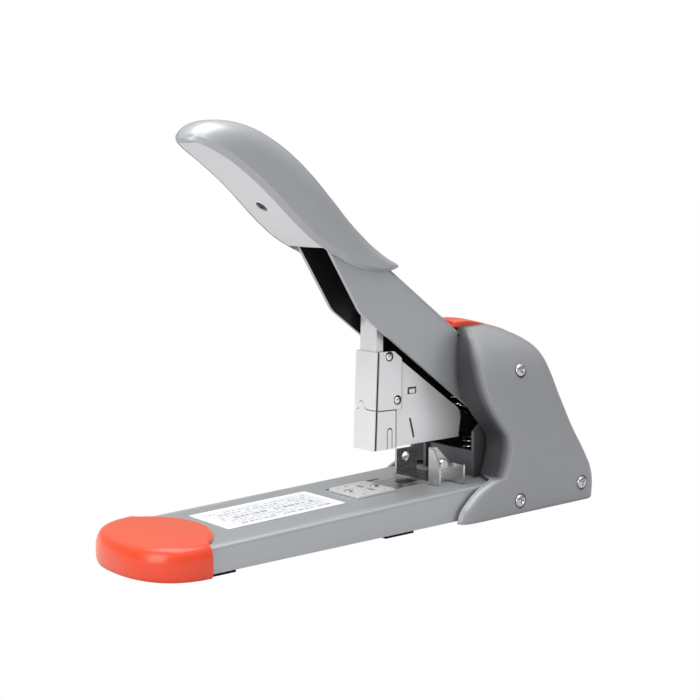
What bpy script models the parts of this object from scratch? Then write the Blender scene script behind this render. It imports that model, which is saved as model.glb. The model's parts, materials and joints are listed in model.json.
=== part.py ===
"""A heavy-duty lever stapler, as separate pieces on real joints.

Sizes are in millimetres. x runs from the nose to the rear, y is the width and z is the
height above the ground. x is measured from a datum plane just behind the anvil, and
X_DATUM puts that plane where the whole object is centred on the origin.
Left is -y, as seen by someone behind the stapler who looks at its nose.
"""

import math

import bmesh
import bpy
from mathutils import Matrix, Vector

MM = 0.001

# Fits
TOUCH = 0.3  # gap between pieces that touch
LAP = 0.2  # gap between lapped sheets
RUN = 0.3  # radial clearance of a hole over its pin

# Base
X_DATUM = 12.25
BASE_WIDTH = 64.0
BASE_FRONT = -126.0
BASE_REAR = 118.0
BASE_SHEET = 2.0
BASE_FOLD_RADIUS = 2.0
DECK_SLOPE = math.radians(1.339)
DECK_AT_DATUM = 17.12
FOOT_HEIGHT = 2.1
FOOT_LENGTH = 18.0
FOOT_WIDTH = 5.0
FOOT_AT_X = (-114.5, -9.3, 100.0)
BOTTOM_PLATE_SHEET = 1.2

# Front cap
CAP_NOSE = -150.3
CAP_REAR = -121.5
CAP_OVERHANG = 3.4  # beyond the side of the base
CAP_SKIN = 2.4  # above the deck
CAP_BOTTOM = 0.9
TONGUE_REACH = -104.8
TONGUE_RADIUS = 35.4

# Label and anvil
LABEL_LENGTH = 68.6
LABEL_WIDTH = 32.5
LABEL_THICK = 0.3
LABEL_AT = (-64.6, 2.0)
ANVIL_LENGTH = 24.4
ANVIL_WIDTH = 24.0
ANVIL_THICK = 1.0
ANVIL_REAR = 3.1
CROWN = 12.1  # outer width of a staple
STAPLE_LINE = -6.0

# Paper stop
STOP_FRONT = 24.3
STOP_SHEET = 1.2
STOP_EAR_INSIDE = 12.8
STOP_EAR_HEIGHT = 18.0
STOP_TRAVEL = (-12.0, 9.0)
STOP_SCREW_X = 32.0
STOP_SCREW_LIFT = 9.2
STOP_TAB = (29.0, 36.0)
STOP_TAB_WIDTH = 7.0

# Pivots
HANDLE_AXIS = (82.0, 50.2)
HEAD_AXIS = (99.0, 33.6)
HANDLE_PIN_RADIUS = 4.0
HEAD_PIN_RADIUS = 3.0

# Frame
FRAME_FRONT = 50.2
FRAME_INSIDE = 17.0
FRAME_SHEET = 1.8
FRAME_FOOT = 8.0
WEB_FRONT = 52.3
WEB_TOP = 31.6

# Head
HEAD_WIDTH = 15.5
HEAD_SHEET = 0.6
HEAD_PLATE = 0.7
HEAD_TOP = 86.1
HEAD_BOTTOM = 37.4
FACE_AT_TOP = -5.7
FACE_LEAN = math.radians(2.3)
GUARD_BOTTOM = 57.4
BLADE_THICK = 1.0
RAIL_TOP = 55.6
RAIL_REAR = 49.0
RAIL_WIDTH = 9.4
RAIL_SHEET = 1.0
STRIP_LENGTH = 16.0
STAPLE_WIRE = 1.15
STAPLE_LEG = 17.0
PUSHER_LENGTH = 7.5
YOKE_FRONT = 40.5

# Driver
DRIVER_STROKE = 24.8
DRIVER_PIN = (12.0, 101.1)
DRIVER_PIN_RADIUS = 2.5
DRIVER_PIN_TRAVEL = 9.4  # along the slot
DRIVER_SLOT_PLAY = 1.1  # above and below the pin
LUG_RADIUS = 4.2  # lug of the lever arm round the pin
LUG_THICK = 4.0

# Lever arm and grip, along the arm from the handle axis (s) and square to it (t)
ARM_ANGLE = math.radians(36.0)
ARM_WIDTH = 23.6
ARM_SHEET = 2.0
ARM_HALF_DEPTH = 14.0
ARM_TAIL = 10.0
ARM_KINK = 113.8
ARM_UNDER_GRIP = 150.5
ARM_END = 175.0
GRIP_WALL = 2.4
GRIP_PLATE_SHEET = 2.0
GRIP_PLATE_REAR = 153.5
GRIP_TIP = 238.7
GRIP_CHAMFER = 2.2  # along the lower edge
GRIP_RIM = 2.4

# Cover
COVER_OVERHANG = 6.0  # beyond the side of the base
COVER_WALL = 2.4
COVER_BOTTOM = 0.9
SPINE_THICK = 3.0
SCREW_HEAD_RADIUS = 3.4
SCREW_SHANK_RADIUS = 1.5


def deck(x):
    """Height of the top of the base at x."""
    return DECK_AT_DATUM + x * math.tan(DECK_SLOPE)


def face(z):
    """x of the front of the head at a height z."""
    return FACE_AT_TOP - (HEAD_TOP - z) * math.tan(FACE_LEAN)


def on_arm(s, t):
    """(x, z) of a point s along the arm from the handle axis and t above its centre line."""
    along = (-math.cos(ARM_ANGLE), math.sin(ARM_ANGLE))
    above = (math.sin(ARM_ANGLE), math.cos(ARM_ANGLE))
    return (
        HANDLE_AXIS[0] + s * along[0] + t * above[0],
        HANDLE_AXIS[1] + s * along[1] + t * above[1],
    )


def off_arm(x, z):
    """Distance along the lever arm and above its centre line, of a place in x and z."""
    run, rise = x - HANDLE_AXIS[0], z - HANDLE_AXIS[1]
    c, n = math.cos(ARM_ANGLE), math.sin(ARM_ANGLE)
    return -run * c + rise * n, run * n + rise * c


def between(x, table):
    """Straight-line value at x from (x, value) pairs in rising order."""
    if x <= table[0][0]:
        return table[0][1]
    for (x0, v0), (x1, v1) in zip(table, table[1:]):
        if x <= x1:
            return v0 + (v1 - v0) * (x - x0) / (x1 - x0)
    return table[-1][1]


def arc(centre, radius, start, end, steps):
    """Points on a circle, from one angle to another in degrees."""
    angles = [math.radians(start + (end - start) * i / steps) for i in range(steps + 1)]
    return [(centre[0] + radius * math.cos(a), centre[1] + radius * math.sin(a)) for a in angles]


def world(x, y, z):
    return Vector(((x + X_DATUM) * MM, y * MM, z * MM))


# Scene, collections and materials

for old in list(bpy.data.objects):
    bpy.data.objects.remove(old)

parts = bpy.data.collections.new("stapler")
cutters = bpy.data.collections.new("cutters")
bpy.context.scene.collection.children.link(parts)
bpy.context.scene.collection.children.link(cutters)


def material(name, colour, roughness, metallic):
    made = bpy.data.materials.new(name)
    made.use_nodes = True
    shader = made.node_tree.nodes["Principled BSDF"]
    shader.inputs["Base Color"].default_value = (*colour, 1.0)
    shader.inputs["Roughness"].default_value = roughness
    shader.inputs["Metallic"].default_value = metallic
    return made


SILVER_PAINT = material("silver_paint", (0.42, 0.43, 0.44), 0.38, 0.6)
GREY_PLASTIC = material("grey_plastic", (0.30, 0.30, 0.31), 0.45, 0.2)
ORANGE_PLASTIC = material("orange_plastic", (0.90, 0.13, 0.02), 0.35, 0.0)
PALE_PLASTIC = material("pale_plastic", (0.62, 0.63, 0.65), 0.5, 0.0)
NICKEL = material("nickel", (0.75, 0.74, 0.72), 0.2, 1.0)
DARK_STEEL = material("dark_steel", (0.10, 0.10, 0.11), 0.4, 0.9)
SPRING_STEEL = material("spring_steel", (0.55, 0.55, 0.56), 0.25, 1.0)
RUBBER = material("rubber", (0.02, 0.02, 0.02), 0.8, 0.0)
LABEL_STOCK = material("label_stock", (0.85, 0.86, 0.87), 0.4, 0.0)


# Building blocks


def empty(name, x, z, parent=None):
    """An empty on a joint's axis, which carries the pieces that move about it."""
    made = bpy.data.objects.new(name, None)
    made.empty_display_size = 0.01
    parts.objects.link(made)
    made.location = world(x, 0, z)
    if parent:
        made.parent = parent
        made.location = made.location - parent_place(parent)
    return made


def parent_place(parent):
    place = parent.location.copy()
    while parent.parent:
        parent = parent.parent
        place += parent.location
    return place


def add(name, mesh, place, shade, parent=None, turn=(0.0, 0.0, 0.0), smooth=40):
    """Puts a mesh into the scene as a part, at a world place."""
    made = bpy.data.objects.new(name, mesh)
    parts.objects.link(made)
    made.location = place
    made.rotation_euler = turn
    if parent:
        made.parent = parent
        made.location = place - parent_place(parent)
    mesh.materials.clear()
    mesh.materials.append(shade)
    if smooth:
        mesh.shade_smooth()
        mesh.set_sharp_from_angle(angle=math.radians(smooth))
    return made


def as_cutter(made):
    parts.objects.unlink(made)
    cutters.objects.link(made)
    made.hide_render = True
    made.display_type = "WIRE"
    return made


def boolean(made, other, operation="DIFFERENCE"):
    step = made.modifiers.new(operation.lower() + "_" + other.name, "BOOLEAN")
    step.operation = operation
    step.solver = "EXACT"
    step.object = as_cutter(other)


def outline(name, points, low, high, shade, parent=None, bevel=0.0, cutter_of=None):
    """A flat outline in x and z, from y = low to y = high."""
    curve = bpy.data.curves.new(name, "CURVE")
    curve.dimensions = "2D"
    curve.fill_mode = "BOTH"
    curve.extrude = (high - low) / 2 * MM
    spline = curve.splines.new("POLY")
    spline.points.add(len(points) - 1)
    for spot, (x, z) in zip(spline.points, points):
        spot.co = ((x + X_DATUM) * MM, z * MM, 0, 1)
    spline.use_cyclic_u = True
    guide = bpy.data.objects.new(name + "_guide", curve)
    cutters.objects.link(guide)
    guide.hide_render = True
    bpy.context.view_layer.update()
    mesh = bpy.data.meshes.new_from_object(guide.evaluated_get(bpy.context.evaluated_depsgraph_get()))
    bpy.data.objects.remove(guide)
    weld(mesh)
    mesh.transform(Matrix.Rotation(math.radians(90), 4, "X"))
    mesh.transform(Matrix.Translation((0, (low + high) / 2 * MM, 0)))
    return placed(name, mesh, shade, parent, bevel, cutter_of)


def weld(mesh):
    work = bmesh.new()
    work.from_mesh(mesh)
    bmesh.ops.remove_doubles(work, verts=work.verts, dist=1e-6)
    bmesh.ops.recalc_face_normals(work, faces=work.faces)
    work.to_mesh(mesh)
    work.free()


def placed(name, mesh, shade, parent, bevel, cutter_of):
    """Gives a world-space mesh its origin on its parent, or at its own middle, and adds it."""
    if parent:
        place = parent_place(parent)
    else:
        corners = [v.co for v in mesh.vertices]
        low = Vector([min(c[i] for c in corners) for i in range(3)])
        high = Vector([max(c[i] for c in corners) for i in range(3)])
        place = (low + high) / 2
    mesh.transform(Matrix.Translation(-place))
    made = add(name, mesh, place, shade, parent)
    if bevel:
        step = made.modifiers.new("rounded_edges", "BEVEL")
        step.width = bevel * MM
        step.segments = 2
        step.limit_method = "ANGLE"
        step.angle_limit = math.radians(50)
    if cutter_of:
        boolean(cutter_of, made)
    return made


def box(name, low, high, shade=None, parent=None, bevel=0.0, cutter_of=None):
    """A box between two corners given as (x, y, z)."""
    mesh = bpy.data.meshes.new(name)
    work = bmesh.new()
    bmesh.ops.create_cube(work, size=1.0)
    size = Vector([(h - l) * MM for l, h in zip(low, high)])
    bmesh.ops.scale(work, vec=size, verts=work.verts)
    middle = world(*[(l + h) / 2 for l, h in zip(low, high)])
    bmesh.ops.translate(work, vec=middle, verts=work.verts)
    work.to_mesh(mesh)
    work.free()
    return placed(name, mesh, shade or SILVER_PAINT, parent, bevel, cutter_of)


AXIS_TURN = {
    "x": Matrix.Rotation(math.radians(90), 4, "Y"),
    "y": Matrix.Rotation(math.radians(90), 4, "X"),
    "z": Matrix.Identity(4),
}


def rod(name, centre, radius, length, axis, shade=None, parent=None, sides=24, cutter_of=None):
    """A round bar about its centre, along x, y or z."""
    mesh = bpy.data.meshes.new(name)
    work = bmesh.new()
    bmesh.ops.create_cone(
        work, cap_ends=True, segments=sides, radius1=radius * MM, radius2=radius * MM, depth=length * MM
    )
    work.to_mesh(mesh)
    work.free()
    mesh.transform(Matrix.Translation(world(*centre)) @ AXIS_TURN[axis])
    return placed(name, mesh, shade or SILVER_PAINT, parent, 0.0, cutter_of)


def turned(name, profile, foot, direction, shade, parent=None, sides=24):
    """A turned piece: (radius, height) pairs from the top to the foot, about a line through foot."""
    mesh = bpy.data.meshes.new(name)
    work = bmesh.new()
    spots = [work.verts.new((r * MM, 0, h * MM)) for r, h in profile]
    for first, second in zip(spots, spots[1:]):
        work.edges.new((first, second))
    work.to_mesh(mesh)
    work.free()
    heading = Vector(direction).normalized()
    made = add(name, mesh, world(*foot), shade, parent, heading.to_track_quat("Z", "Y").to_euler())
    spin = made.modifiers.new("spin", "SCREW")
    spin.axis = "Z"
    spin.steps = sides
    spin.render_steps = sides
    spin.use_merge_vertices = True
    spin.merge_threshold = 0.000001
    return made


def loft(name, rings, shade, parent=None, bevel=0.0, cutter_of=None):
    """A closed solid through rings of (x, y, z) points that all have the same number of points."""
    mesh = bpy.data.meshes.new(name)
    work = bmesh.new()
    rows = [[work.verts.new(world(*p)) for p in ring] for ring in rings]
    count = len(rows[0])
    for first, second in zip(rows, rows[1:]):
        for i in range(count):
            j = (i + 1) % count
            work.faces.new((first[i], first[j], second[j], second[i]))
    work.faces.new(rows[0][::-1])
    work.faces.new(rows[-1])
    bmesh.ops.remove_doubles(work, verts=work.verts, dist=1e-6)
    bmesh.ops.connect_verts_nonplanar(work, angle_limit=0.001, faces=work.faces)
    bmesh.ops.recalc_face_normals(work, faces=work.faces)
    work.to_mesh(mesh)
    work.free()
    return placed(name, mesh, shade, parent, bevel, cutter_of)


def coil(name, foot, direction, radius, wire, length, turns, parent=None):
    """A coil spring: a helix with its two end turns closed up, as one round wire."""
    curve = bpy.data.curves.new(name, "CURVE")
    curve.dimensions = "3D"
    curve.bevel_depth = wire / 2 * MM
    curve.bevel_resolution = 2
    curve.use_fill_caps = True
    steps = 10
    dead = 1.0  # closed turns at each end
    free = turns - 2 * dead
    rise = length - wire - 2 * dead * wire * 1.08
    spline = curve.splines.new("POLY")
    total = int(turns * steps)
    spline.points.add(total)
    for i in range(total + 1):
        turn = i / steps
        climb = min(turn, dead) * wire * 1.08
        climb += min(max(turn - dead, 0), free) / free * rise
        climb += max(turn - dead - free, 0) * wire * 1.08
        angle = 2 * math.pi * turn
        spline.points[i].co = (
            radius * math.cos(angle) * MM,
            radius * math.sin(angle) * MM,
            (climb + wire / 2) * MM,
            1,
        )
    made = bpy.data.objects.new(name, curve)
    parts.objects.link(made)
    made.location = world(*foot) - (parent_place(parent) if parent else Vector((0, 0, 0)))
    made.rotation_euler = Vector(direction).normalized().to_track_quat("Z", "Y").to_euler()
    made.parent = parent
    curve.materials.append(SPRING_STEEL)
    return made


# Joint axes

handle = empty("handle_axis", *HANDLE_AXIS)
head = empty("head_axis", *HEAD_AXIS)
driver = empty("driver_axis", face(HEAD_TOP), HEAD_TOP, head)
magazine = empty("magazine_axis", face(HEAD_BOTTOM), HEAD_BOTTOM, head)
pusher_slide = empty("pusher_axis", STRIP_LENGTH, RAIL_TOP, magazine)
stop_slide = empty("stop_axis", STOP_FRONT, deck(STOP_FRONT))
stop_screw_axis = empty("stop_screw_axis", STOP_SCREW_X, deck(STOP_SCREW_X) + STOP_SCREW_LIFT, stop_slide)


# Base

base_half = BASE_WIDTH / 2


def channel_ring(x, inset=0.0):
    """The base's section at x: an upside-down channel with rounded folds."""
    top = deck(x) + inset
    half = base_half + inset
    r = BASE_FOLD_RADIUS
    folds = [(-half + r - r * math.cos(a), top - r + r * math.sin(a)) for a in (0, math.pi / 6, math.pi / 3, math.pi / 2)]
    outside = [(-half, FOOT_HEIGHT - inset)] + folds
    outside += [(-y, z) for y, z in reversed(outside)]
    if inset:
        return [(x, y, z) for y, z in outside]
    inside = half - BASE_SHEET
    roof = top - BASE_SHEET
    hollow = [(inside, FOOT_HEIGHT), (inside, roof), (-inside, roof), (-inside, FOOT_HEIGHT)]
    return [(x, y, z) for y, z in outside + hollow]


base_channel = loft("base_channel", [channel_ring(BASE_FRONT), channel_ring(BASE_REAR)], SILVER_PAINT)
slot_low = STOP_TAB[0] + STOP_TRAVEL[0] - 1.5
slot_high = STOP_TAB[1] + STOP_TRAVEL[1] + 1.5
slot_half = STOP_TAB_WIDTH / 2 + TOUCH
box("stop_slot_cut", (slot_low, -slot_half, 8), (slot_high, slot_half, 30), cutter_of=base_channel)

plate_half = base_half - BASE_SHEET - TOUCH
plate_low = FOOT_HEIGHT + TOUCH
box(
    "base_bottom_plate",
    (BASE_FRONT + 1, -plate_half, plate_low),
    (BASE_REAR - 4, plate_half, plate_low + BOTTOM_PLATE_SHEET),
    DARK_STEEL,
)
foot_outer = plate_half - 0.8
for row, foot_x in zip(("front", "middle", "rear"), FOOT_AT_X):
    for side, sign in (("left", -1), ("right", 1)):
        near, far = sorted((sign * foot_outer, sign * (foot_outer - FOOT_WIDTH)))
        box(
            f"foot_{row}_{side}",
            (foot_x - FOOT_LENGTH / 2, near, 0),
            (foot_x + FOOT_LENGTH / 2, far, FOOT_HEIGHT),
            RUBBER,
        )


# Front cap: a rounded nose, a tongue over the deck, and the base's own shape taken out

cap_half = base_half + CAP_OVERHANG


def nose_outline(grow, z):
    """The cap's plan at a height z, half round the nose and square at the rear."""
    power = 2 / 2.35
    half = cap_half - 0.4 + grow
    depth = CAP_REAR - CAP_NOSE + grow
    ring = []
    for i in range(21):
        a = math.pi / 2 + math.pi * i / 20
        c, s = math.cos(a), math.sin(a)
        x = CAP_REAR - depth * abs(c) ** power
        ring.append((x, half * math.copysign(abs(s) ** power, s), z(x)))
    return ring


cap_levels = (
    (-1.6, lambda x: CAP_BOTTOM),
    (-0.5, lambda x: CAP_BOTTOM + 1.3),
    (0.0, lambda x: CAP_BOTTOM + 3.6),
    (0.0, lambda x: deck(x) - 4.2),
    (-0.5, lambda x: deck(x) - 1.8),
    (-1.4, lambda x: deck(x) + CAP_SKIN * 0.05),
    (-2.8, lambda x: deck(x) + CAP_SKIN * 0.62),
    (-5.0, lambda x: deck(x) + CAP_SKIN * 0.92),
    (-9.0, lambda x: deck(x) + CAP_SKIN),
)
front_cap = loft("front_cap", [nose_outline(g, z) for g, z in cap_levels], ORANGE_PLASTIC)
tongue_centre = TONGUE_REACH - TONGUE_RADIUS


def tongue_ring(shrink, lift):
    spots = arc((tongue_centre, 0), TONGUE_RADIUS - shrink, -58, 58, 16)
    spots = [(CAP_REAR - 6, spots[0][1])] + spots + [(CAP_REAR - 6, spots[-1][1])]
    return [(x, y, deck(x) + lift) for x, y in spots]


tongue = loft(
    "cap_tongue",
    [tongue_ring(0, -1), tongue_ring(0.2, CAP_SKIN * 0.45), tongue_ring(1.6, CAP_SKIN * 0.95)],
    ORANGE_PLASTIC,
)
boolean(front_cap, tongue, "UNION")
base_room = loft("base_room", [channel_ring(BASE_FRONT - TOUCH, TOUCH), channel_ring(BASE_REAR, TOUCH)], ORANGE_PLASTIC)
boolean(front_cap, base_room)
box("base_room_below", (BASE_FRONT - TOUCH, -base_half - TOUCH, -5), (BASE_REAR, base_half + TOUCH, 8), cutter_of=front_cap)


# Label and anvil, which lie on the sloping deck


def deck_plate(name, x0, x1, half, centre_y, lift, thick, shade, corner=0.0, bevel=0.0):
    """A flat plate on the deck with its corners rounded."""
    rings = []
    for height in (lift, lift + thick):
        ring = []
        corners = ((x1, half, 0), (x0, half, 90), (x0, -half, 180), (x1, -half, 270))
        for cx, cy, start in corners:
            if corner:
                inner = (cx - math.copysign(corner, cx - (x0 + x1) / 2), cy - math.copysign(corner, cy))
                ring += [(x, y + centre_y) for x, y in arc(inner, corner, start, start + 90, 4)]
            else:
                ring.append((cx, cy + centre_y))
        rings.append([(x, y, deck(x) + height) for x, y in ring])
    return loft(name, rings, shade, bevel=bevel)


deck_plate(
    "capacity_label",
    LABEL_AT[0] - LABEL_LENGTH / 2,
    LABEL_AT[0] + LABEL_LENGTH / 2,
    LABEL_WIDTH / 2,
    LABEL_AT[1],
    0.1,
    LABEL_THICK,
    LABEL_STOCK,
    corner=1.5,
)
anvil_front = ANVIL_REAR - ANVIL_LENGTH
anvil_plate = deck_plate("anvil_plate", anvil_front, ANVIL_REAR, ANVIL_WIDTH / 2, 0, LAP, ANVIL_THICK, NICKEL, corner=2.0)
groove_top = deck(STAPLE_LINE) + LAP + ANVIL_THICK
for side, sign in (("left", -1), ("right", 1)):
    near, far = sorted((sign * 1.0, sign * (CROWN / 2 + 1.2)))
    box(
        f"groove_cut_{side}",
        (STAPLE_LINE - 1.3, near, groove_top - 0.55),
        (STAPLE_LINE + 1.3, far, groove_top + 3),
        cutter_of=anvil_plate,
    )
for row, rivet_x in (("front", anvil_front + 4.0), ("rear", ANVIL_REAR - 3.6)):
    height = deck(rivet_x)
    rod(f"anvil_{row}_hole_cut", (rivet_x, 0, height), 1.5 + RUN, 12, "z", cutter_of=anvil_plate)
    rod(f"deck_{row}_hole_cut", (rivet_x, 0, height), 1.5 + RUN, 12, "z", cutter_of=base_channel)
    profile = [(0, 1.9), (1.6, 1.8), (2.4, 1.45), (1.5, 1.42), (1.5, -2.6), (0, -2.6)]
    turned(f"anvil_rivet_{row}", profile, (rivet_x, 0, height), (0, 0, 1), NICKEL, sides=16)


# Paper stop: a bent plate with two ears, a tab through the base's slot, and its clamp screw

stop_low = deck(STOP_FRONT) + LAP
stop_rear = STOP_FRONT + 15.9
ear_in = STOP_EAR_INSIDE
ear_out = ear_in + STOP_SHEET


def stop_floor(x0, x1, y0, y1, name):
    rings = []
    for height in (LAP, LAP + STOP_SHEET):
        ring = [(x0, y0), (x1, y0), (x1, y1), (x0, y1)]
        rings.append([(x, y, deck(x) + height) for x, y in ring])
    return loft(name, rings, NICKEL, stop_slide)


paper_stop = stop_floor(STOP_FRONT + 0.15, stop_rear, -ear_out + 0.15, ear_out - 0.15, "paper_stop")
ear_foot = deck(STOP_FRONT) + LAP + STOP_SHEET / 2
right_ear = outline(
    "right_ear",
    [(STOP_FRONT + 1.5, ear_foot + 0.2), (stop_rear - 0.3, ear_foot + 0.5)]
    + arc((stop_rear - 4.3, ear_foot + 9.0), 4.0, 0, 90, 5)
    + [(STOP_FRONT + 1.5, ear_foot + 13.0)],
    ear_in,
    ear_out,
    NICKEL,
)
boolean(paper_stop, right_ear, "UNION")
left_ear = outline(
    "left_ear",
    [
        (STOP_FRONT + 0.3, ear_foot),
        (STOP_FRONT + 12.9, ear_foot + 0.3),
        (STOP_FRONT + 12.9, ear_foot + 9.6),
        (STOP_FRONT + 4.6, ear_foot + STOP_EAR_HEIGHT - 0.4),
        (STOP_FRONT + 0.3, ear_foot + STOP_EAR_HEIGHT),
    ],
    -ear_out,
    -ear_in,
    NICKEL,
)
boolean(paper_stop, left_ear, "UNION")
flange_high = ear_foot + STOP_EAR_HEIGHT
flange_rings = [
    [
        (x, -ear_in - 0.1, ear_foot - 0.12),
        (x, -ear_in - 8.0, ear_foot - 0.12),
        (x, -ear_in - 7.8, ear_foot + 8.5),
        (x, -ear_in - 4.0, flange_high - 1.0),
        (x, -ear_in - 0.1, flange_high - 0.2),
    ]
    for x in (STOP_FRONT, STOP_FRONT + STOP_SHEET)
]
boolean(paper_stop, loft("front_flange", flange_rings, NICKEL), "UNION")
rear_flange = box(
    "rear_flange",
    (STOP_FRONT + 12.0, -ear_in - 12.6, ear_foot + 0.1),
    (STOP_FRONT + 13.2, -ear_in - 0.1, ear_foot + 9.4),
)
boolean(paper_stop, rear_flange, "UNION")
tab = box(
    "stop_tab",
    (STOP_TAB[0], -STOP_TAB_WIDTH / 2, deck(STOP_TAB[0]) - BASE_SHEET - 2.5),
    (STOP_TAB[1], STOP_TAB_WIDTH / 2, deck(STOP_TAB[0]) + LAP + 0.8),
)
boolean(paper_stop, tab, "UNION")
screw_z = deck(STOP_SCREW_X) + STOP_SCREW_LIFT
rod("right_ear_hole_cut", (STOP_SCREW_X, ear_in, screw_z), 2.4, 8, "y", cutter_of=paper_stop)
rod("left_ear_hole_cut", (STOP_SCREW_X, -ear_in, screw_z), 1.5 + RUN, 4, "y", cutter_of=paper_stop)
turned(
    "stop_clamp_screw",
    [(0, 2.4), (2.4, 2.2), (2.9, 1.4), (2.9, LAP), (1.5, LAP), (1.5, -3.6), (0, -3.6)],
    (0, 0, 0),
    (0, -1, 0),
    NICKEL,
    stop_screw_axis,
    sides=18,
).location = Vector((0, -ear_out * MM, 0))


# Frame: two side plates and the front web, on the deck

axis_x, axis_z = HANDLE_AXIS
tail_x, tail_z = HEAD_AXIS
frame_out = FRAME_INSIDE + FRAME_SHEET
frame_foot_z = deck(FRAME_FRONT) + TOUCH + 0.15
frame_rear = tail_x + 7.0
rear_lift = deck(frame_rear) - deck(FRAME_FRONT)
frame_outline = (
    [(FRAME_FRONT, frame_foot_z), (frame_rear, frame_foot_z + rear_lift), (frame_rear, tail_z + 4.0)]
    + arc((tail_x, tail_z + 3.0), 7.0, 10, 60, 3)
    + arc((axis_x, axis_z), 10.0, 30, 130, 8)
    + [(axis_x - 14, axis_z + 1.0), (FRAME_FRONT + 7, axis_z - 3.0), (FRAME_FRONT, axis_z - 8.0)]
)
for side, sign in (("left", -1), ("right", 1)):
    near, far = sorted((sign * FRAME_INSIDE, sign * frame_out))
    plate = outline(f"frame_{side}", frame_outline, near, far, DARK_STEEL)
    near, far = sorted((sign * (FRAME_INSIDE + 0.4), sign * (frame_out + FRAME_FOOT)))
    foot_rings = [
        [(x, near, deck(x) + h), (x, far, deck(x) + h), (x, far, deck(x) + h2), (x, near, deck(x) + h2)]
        for x, h, h2 in (
            (FRAME_FRONT + 12, TOUCH, TOUCH + FRAME_SHEET),
            (frame_rear - 2, TOUCH, TOUCH + FRAME_SHEET),
        )
    ]
    boolean(plate, loft(f"frame_foot_{side}", foot_rings, DARK_STEEL), "UNION")
    middle = sign * (FRAME_INSIDE + FRAME_SHEET / 2)
    for hole_name, at, radius in (
        ("handle", HANDLE_AXIS, HANDLE_PIN_RADIUS),
        ("head", HEAD_AXIS, HEAD_PIN_RADIUS),
    ):
        rod(f"{hole_name}_{side}_hole_cut", (at[0], middle, at[1]), radius + RUN, 8, "y", cutter_of=plate)
    for row, bolt_x in (("front", FRAME_FRONT + 18), ("rear", frame_rear - 9)):
        bolt_y = sign * (frame_out + FRAME_FOOT / 2)
        bolt_z = deck(bolt_x)
        rod(f"bolt_{row}_{side}_plate_cut", (bolt_x, bolt_y, bolt_z), 1.6 + RUN, 9, "z", cutter_of=plate)
        rod(f"bolt_{row}_{side}_deck_cut", (bolt_x, bolt_y, bolt_z), 1.6 + RUN, 9, "z", cutter_of=base_channel)
        seat = TOUCH + FRAME_SHEET + LAP
        turned(
            f"frame_rivet_{row}_{side}",
            [(0, seat + 1.7), (2.2, seat + 1.4), (3.0, seat), (1.6, seat), (1.6, -3.2), (0, -3.2)],
            (bolt_x, bolt_y, bolt_z),
            (0, 0, 1),
            DARK_STEEL,
            sides=14,
        )
box(
    "frame_web",
    (WEB_FRONT, -FRAME_INSIDE + TOUCH, deck(WEB_FRONT) + TOUCH + 0.1),
    (WEB_FRONT + FRAME_SHEET, FRAME_INSIDE - TOUCH, WEB_TOP),
    DARK_STEEL,
    bevel=0.3,
)
for name, at, radius in (("handle", HANDLE_AXIS, HANDLE_PIN_RADIUS), ("head", HEAD_AXIS, HEAD_PIN_RADIUS)):
    reach = frame_out + 2.2
    profile = [
        (0, reach + 1.6),
        (radius + 1.6, reach + 1.3),
        (radius + 1.6, frame_out + LAP),
        (radius, frame_out + LAP),
        (radius, -reach),
        (radius - 0.6, -reach - 0.6),
        (0, -reach - 0.6),
    ]
    turned(f"{name}_pivot_pin", profile, (at[0], 0, at[1]), (0, -1, 0), SPRING_STEEL)


def spacer(name, at, inner, outer, near, far):
    """A tube between two faces on a pin."""
    length = far - near
    profile = [(outer, length), (outer, 0), (inner, 0), (inner, length), (outer, length)]
    sign = -1 if name.endswith("left") else 1
    return turned(name, profile, (at[0], sign * near, at[1]), (0, sign, 0), PALE_PLASTIC, sides=20)


arm_half = ARM_WIDTH / 2
yoke_half = CROWN / 2
for side in ("left", "right"):
    spacer(
        f"handle_bush_{side}",
        HANDLE_AXIS,
        HANDLE_PIN_RADIUS + RUN,
        HANDLE_PIN_RADIUS + 2.5,
        arm_half + TOUCH,
        FRAME_INSIDE - TOUCH,
    )
    spacer(
        f"head_bush_{side}",
        HEAD_AXIS,
        HEAD_PIN_RADIUS + RUN,
        HEAD_PIN_RADIUS + 2.0,
        yoke_half + TOUCH,
        FRAME_INSIDE - TOUCH,
    )


# Head: side plates, the front guard with its rivets, and the yoke back to the head axis

head_half = HEAD_WIDTH / 2
guard_inside = head_half - HEAD_SHEET
plate_outside = guard_inside - LAP
plate_inside = plate_outside - HEAD_PLATE
slope_top = (11.9, 80.2)
slope_rear = (44.5, 57.0)
side_outline = [
    (face(38.0) + HEAD_SHEET + LAP, 38.0),
    (50.8, 38.0),
    (50.8, 44.5),
    (50.2, 49.6),
    (48.4, 53.4),
    slope_rear,
    slope_top,
    (10.0, HEAD_TOP - 3.4),
    (5.3, HEAD_TOP),
    (face(HEAD_TOP) + HEAD_SHEET + LAP, HEAD_TOP),
]
guard_outline = [
    (face(GUARD_BOTTOM), GUARD_BOTTOM),
    (10.6, GUARD_BOTTOM - 0.5),
    (10.6, HEAD_TOP - 3.9),
    (5.3, HEAD_TOP),
    (face(HEAD_TOP), HEAD_TOP),
]
rivet_spots = ((2.3, 83.4), (7.7, 61.4))
front_guard = outline("front_guard", guard_outline, -head_half, head_half, NICKEL, head)
inner_guard = [(x + HEAD_SHEET if i in (0, 4) else x + 9, z) for i, (x, z) in enumerate(guard_outline)]
inner_guard = [
    (face(GUARD_BOTTOM - 4) + HEAD_SHEET, GUARD_BOTTOM - 4),
    (30, GUARD_BOTTOM - 4),
    (30, HEAD_TOP + 4),
    (face(HEAD_TOP + 4) + HEAD_SHEET, HEAD_TOP + 4),
]
outline("guard_inside_cut", inner_guard, -guard_inside, guard_inside, NICKEL, cutter_of=front_guard)
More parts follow.
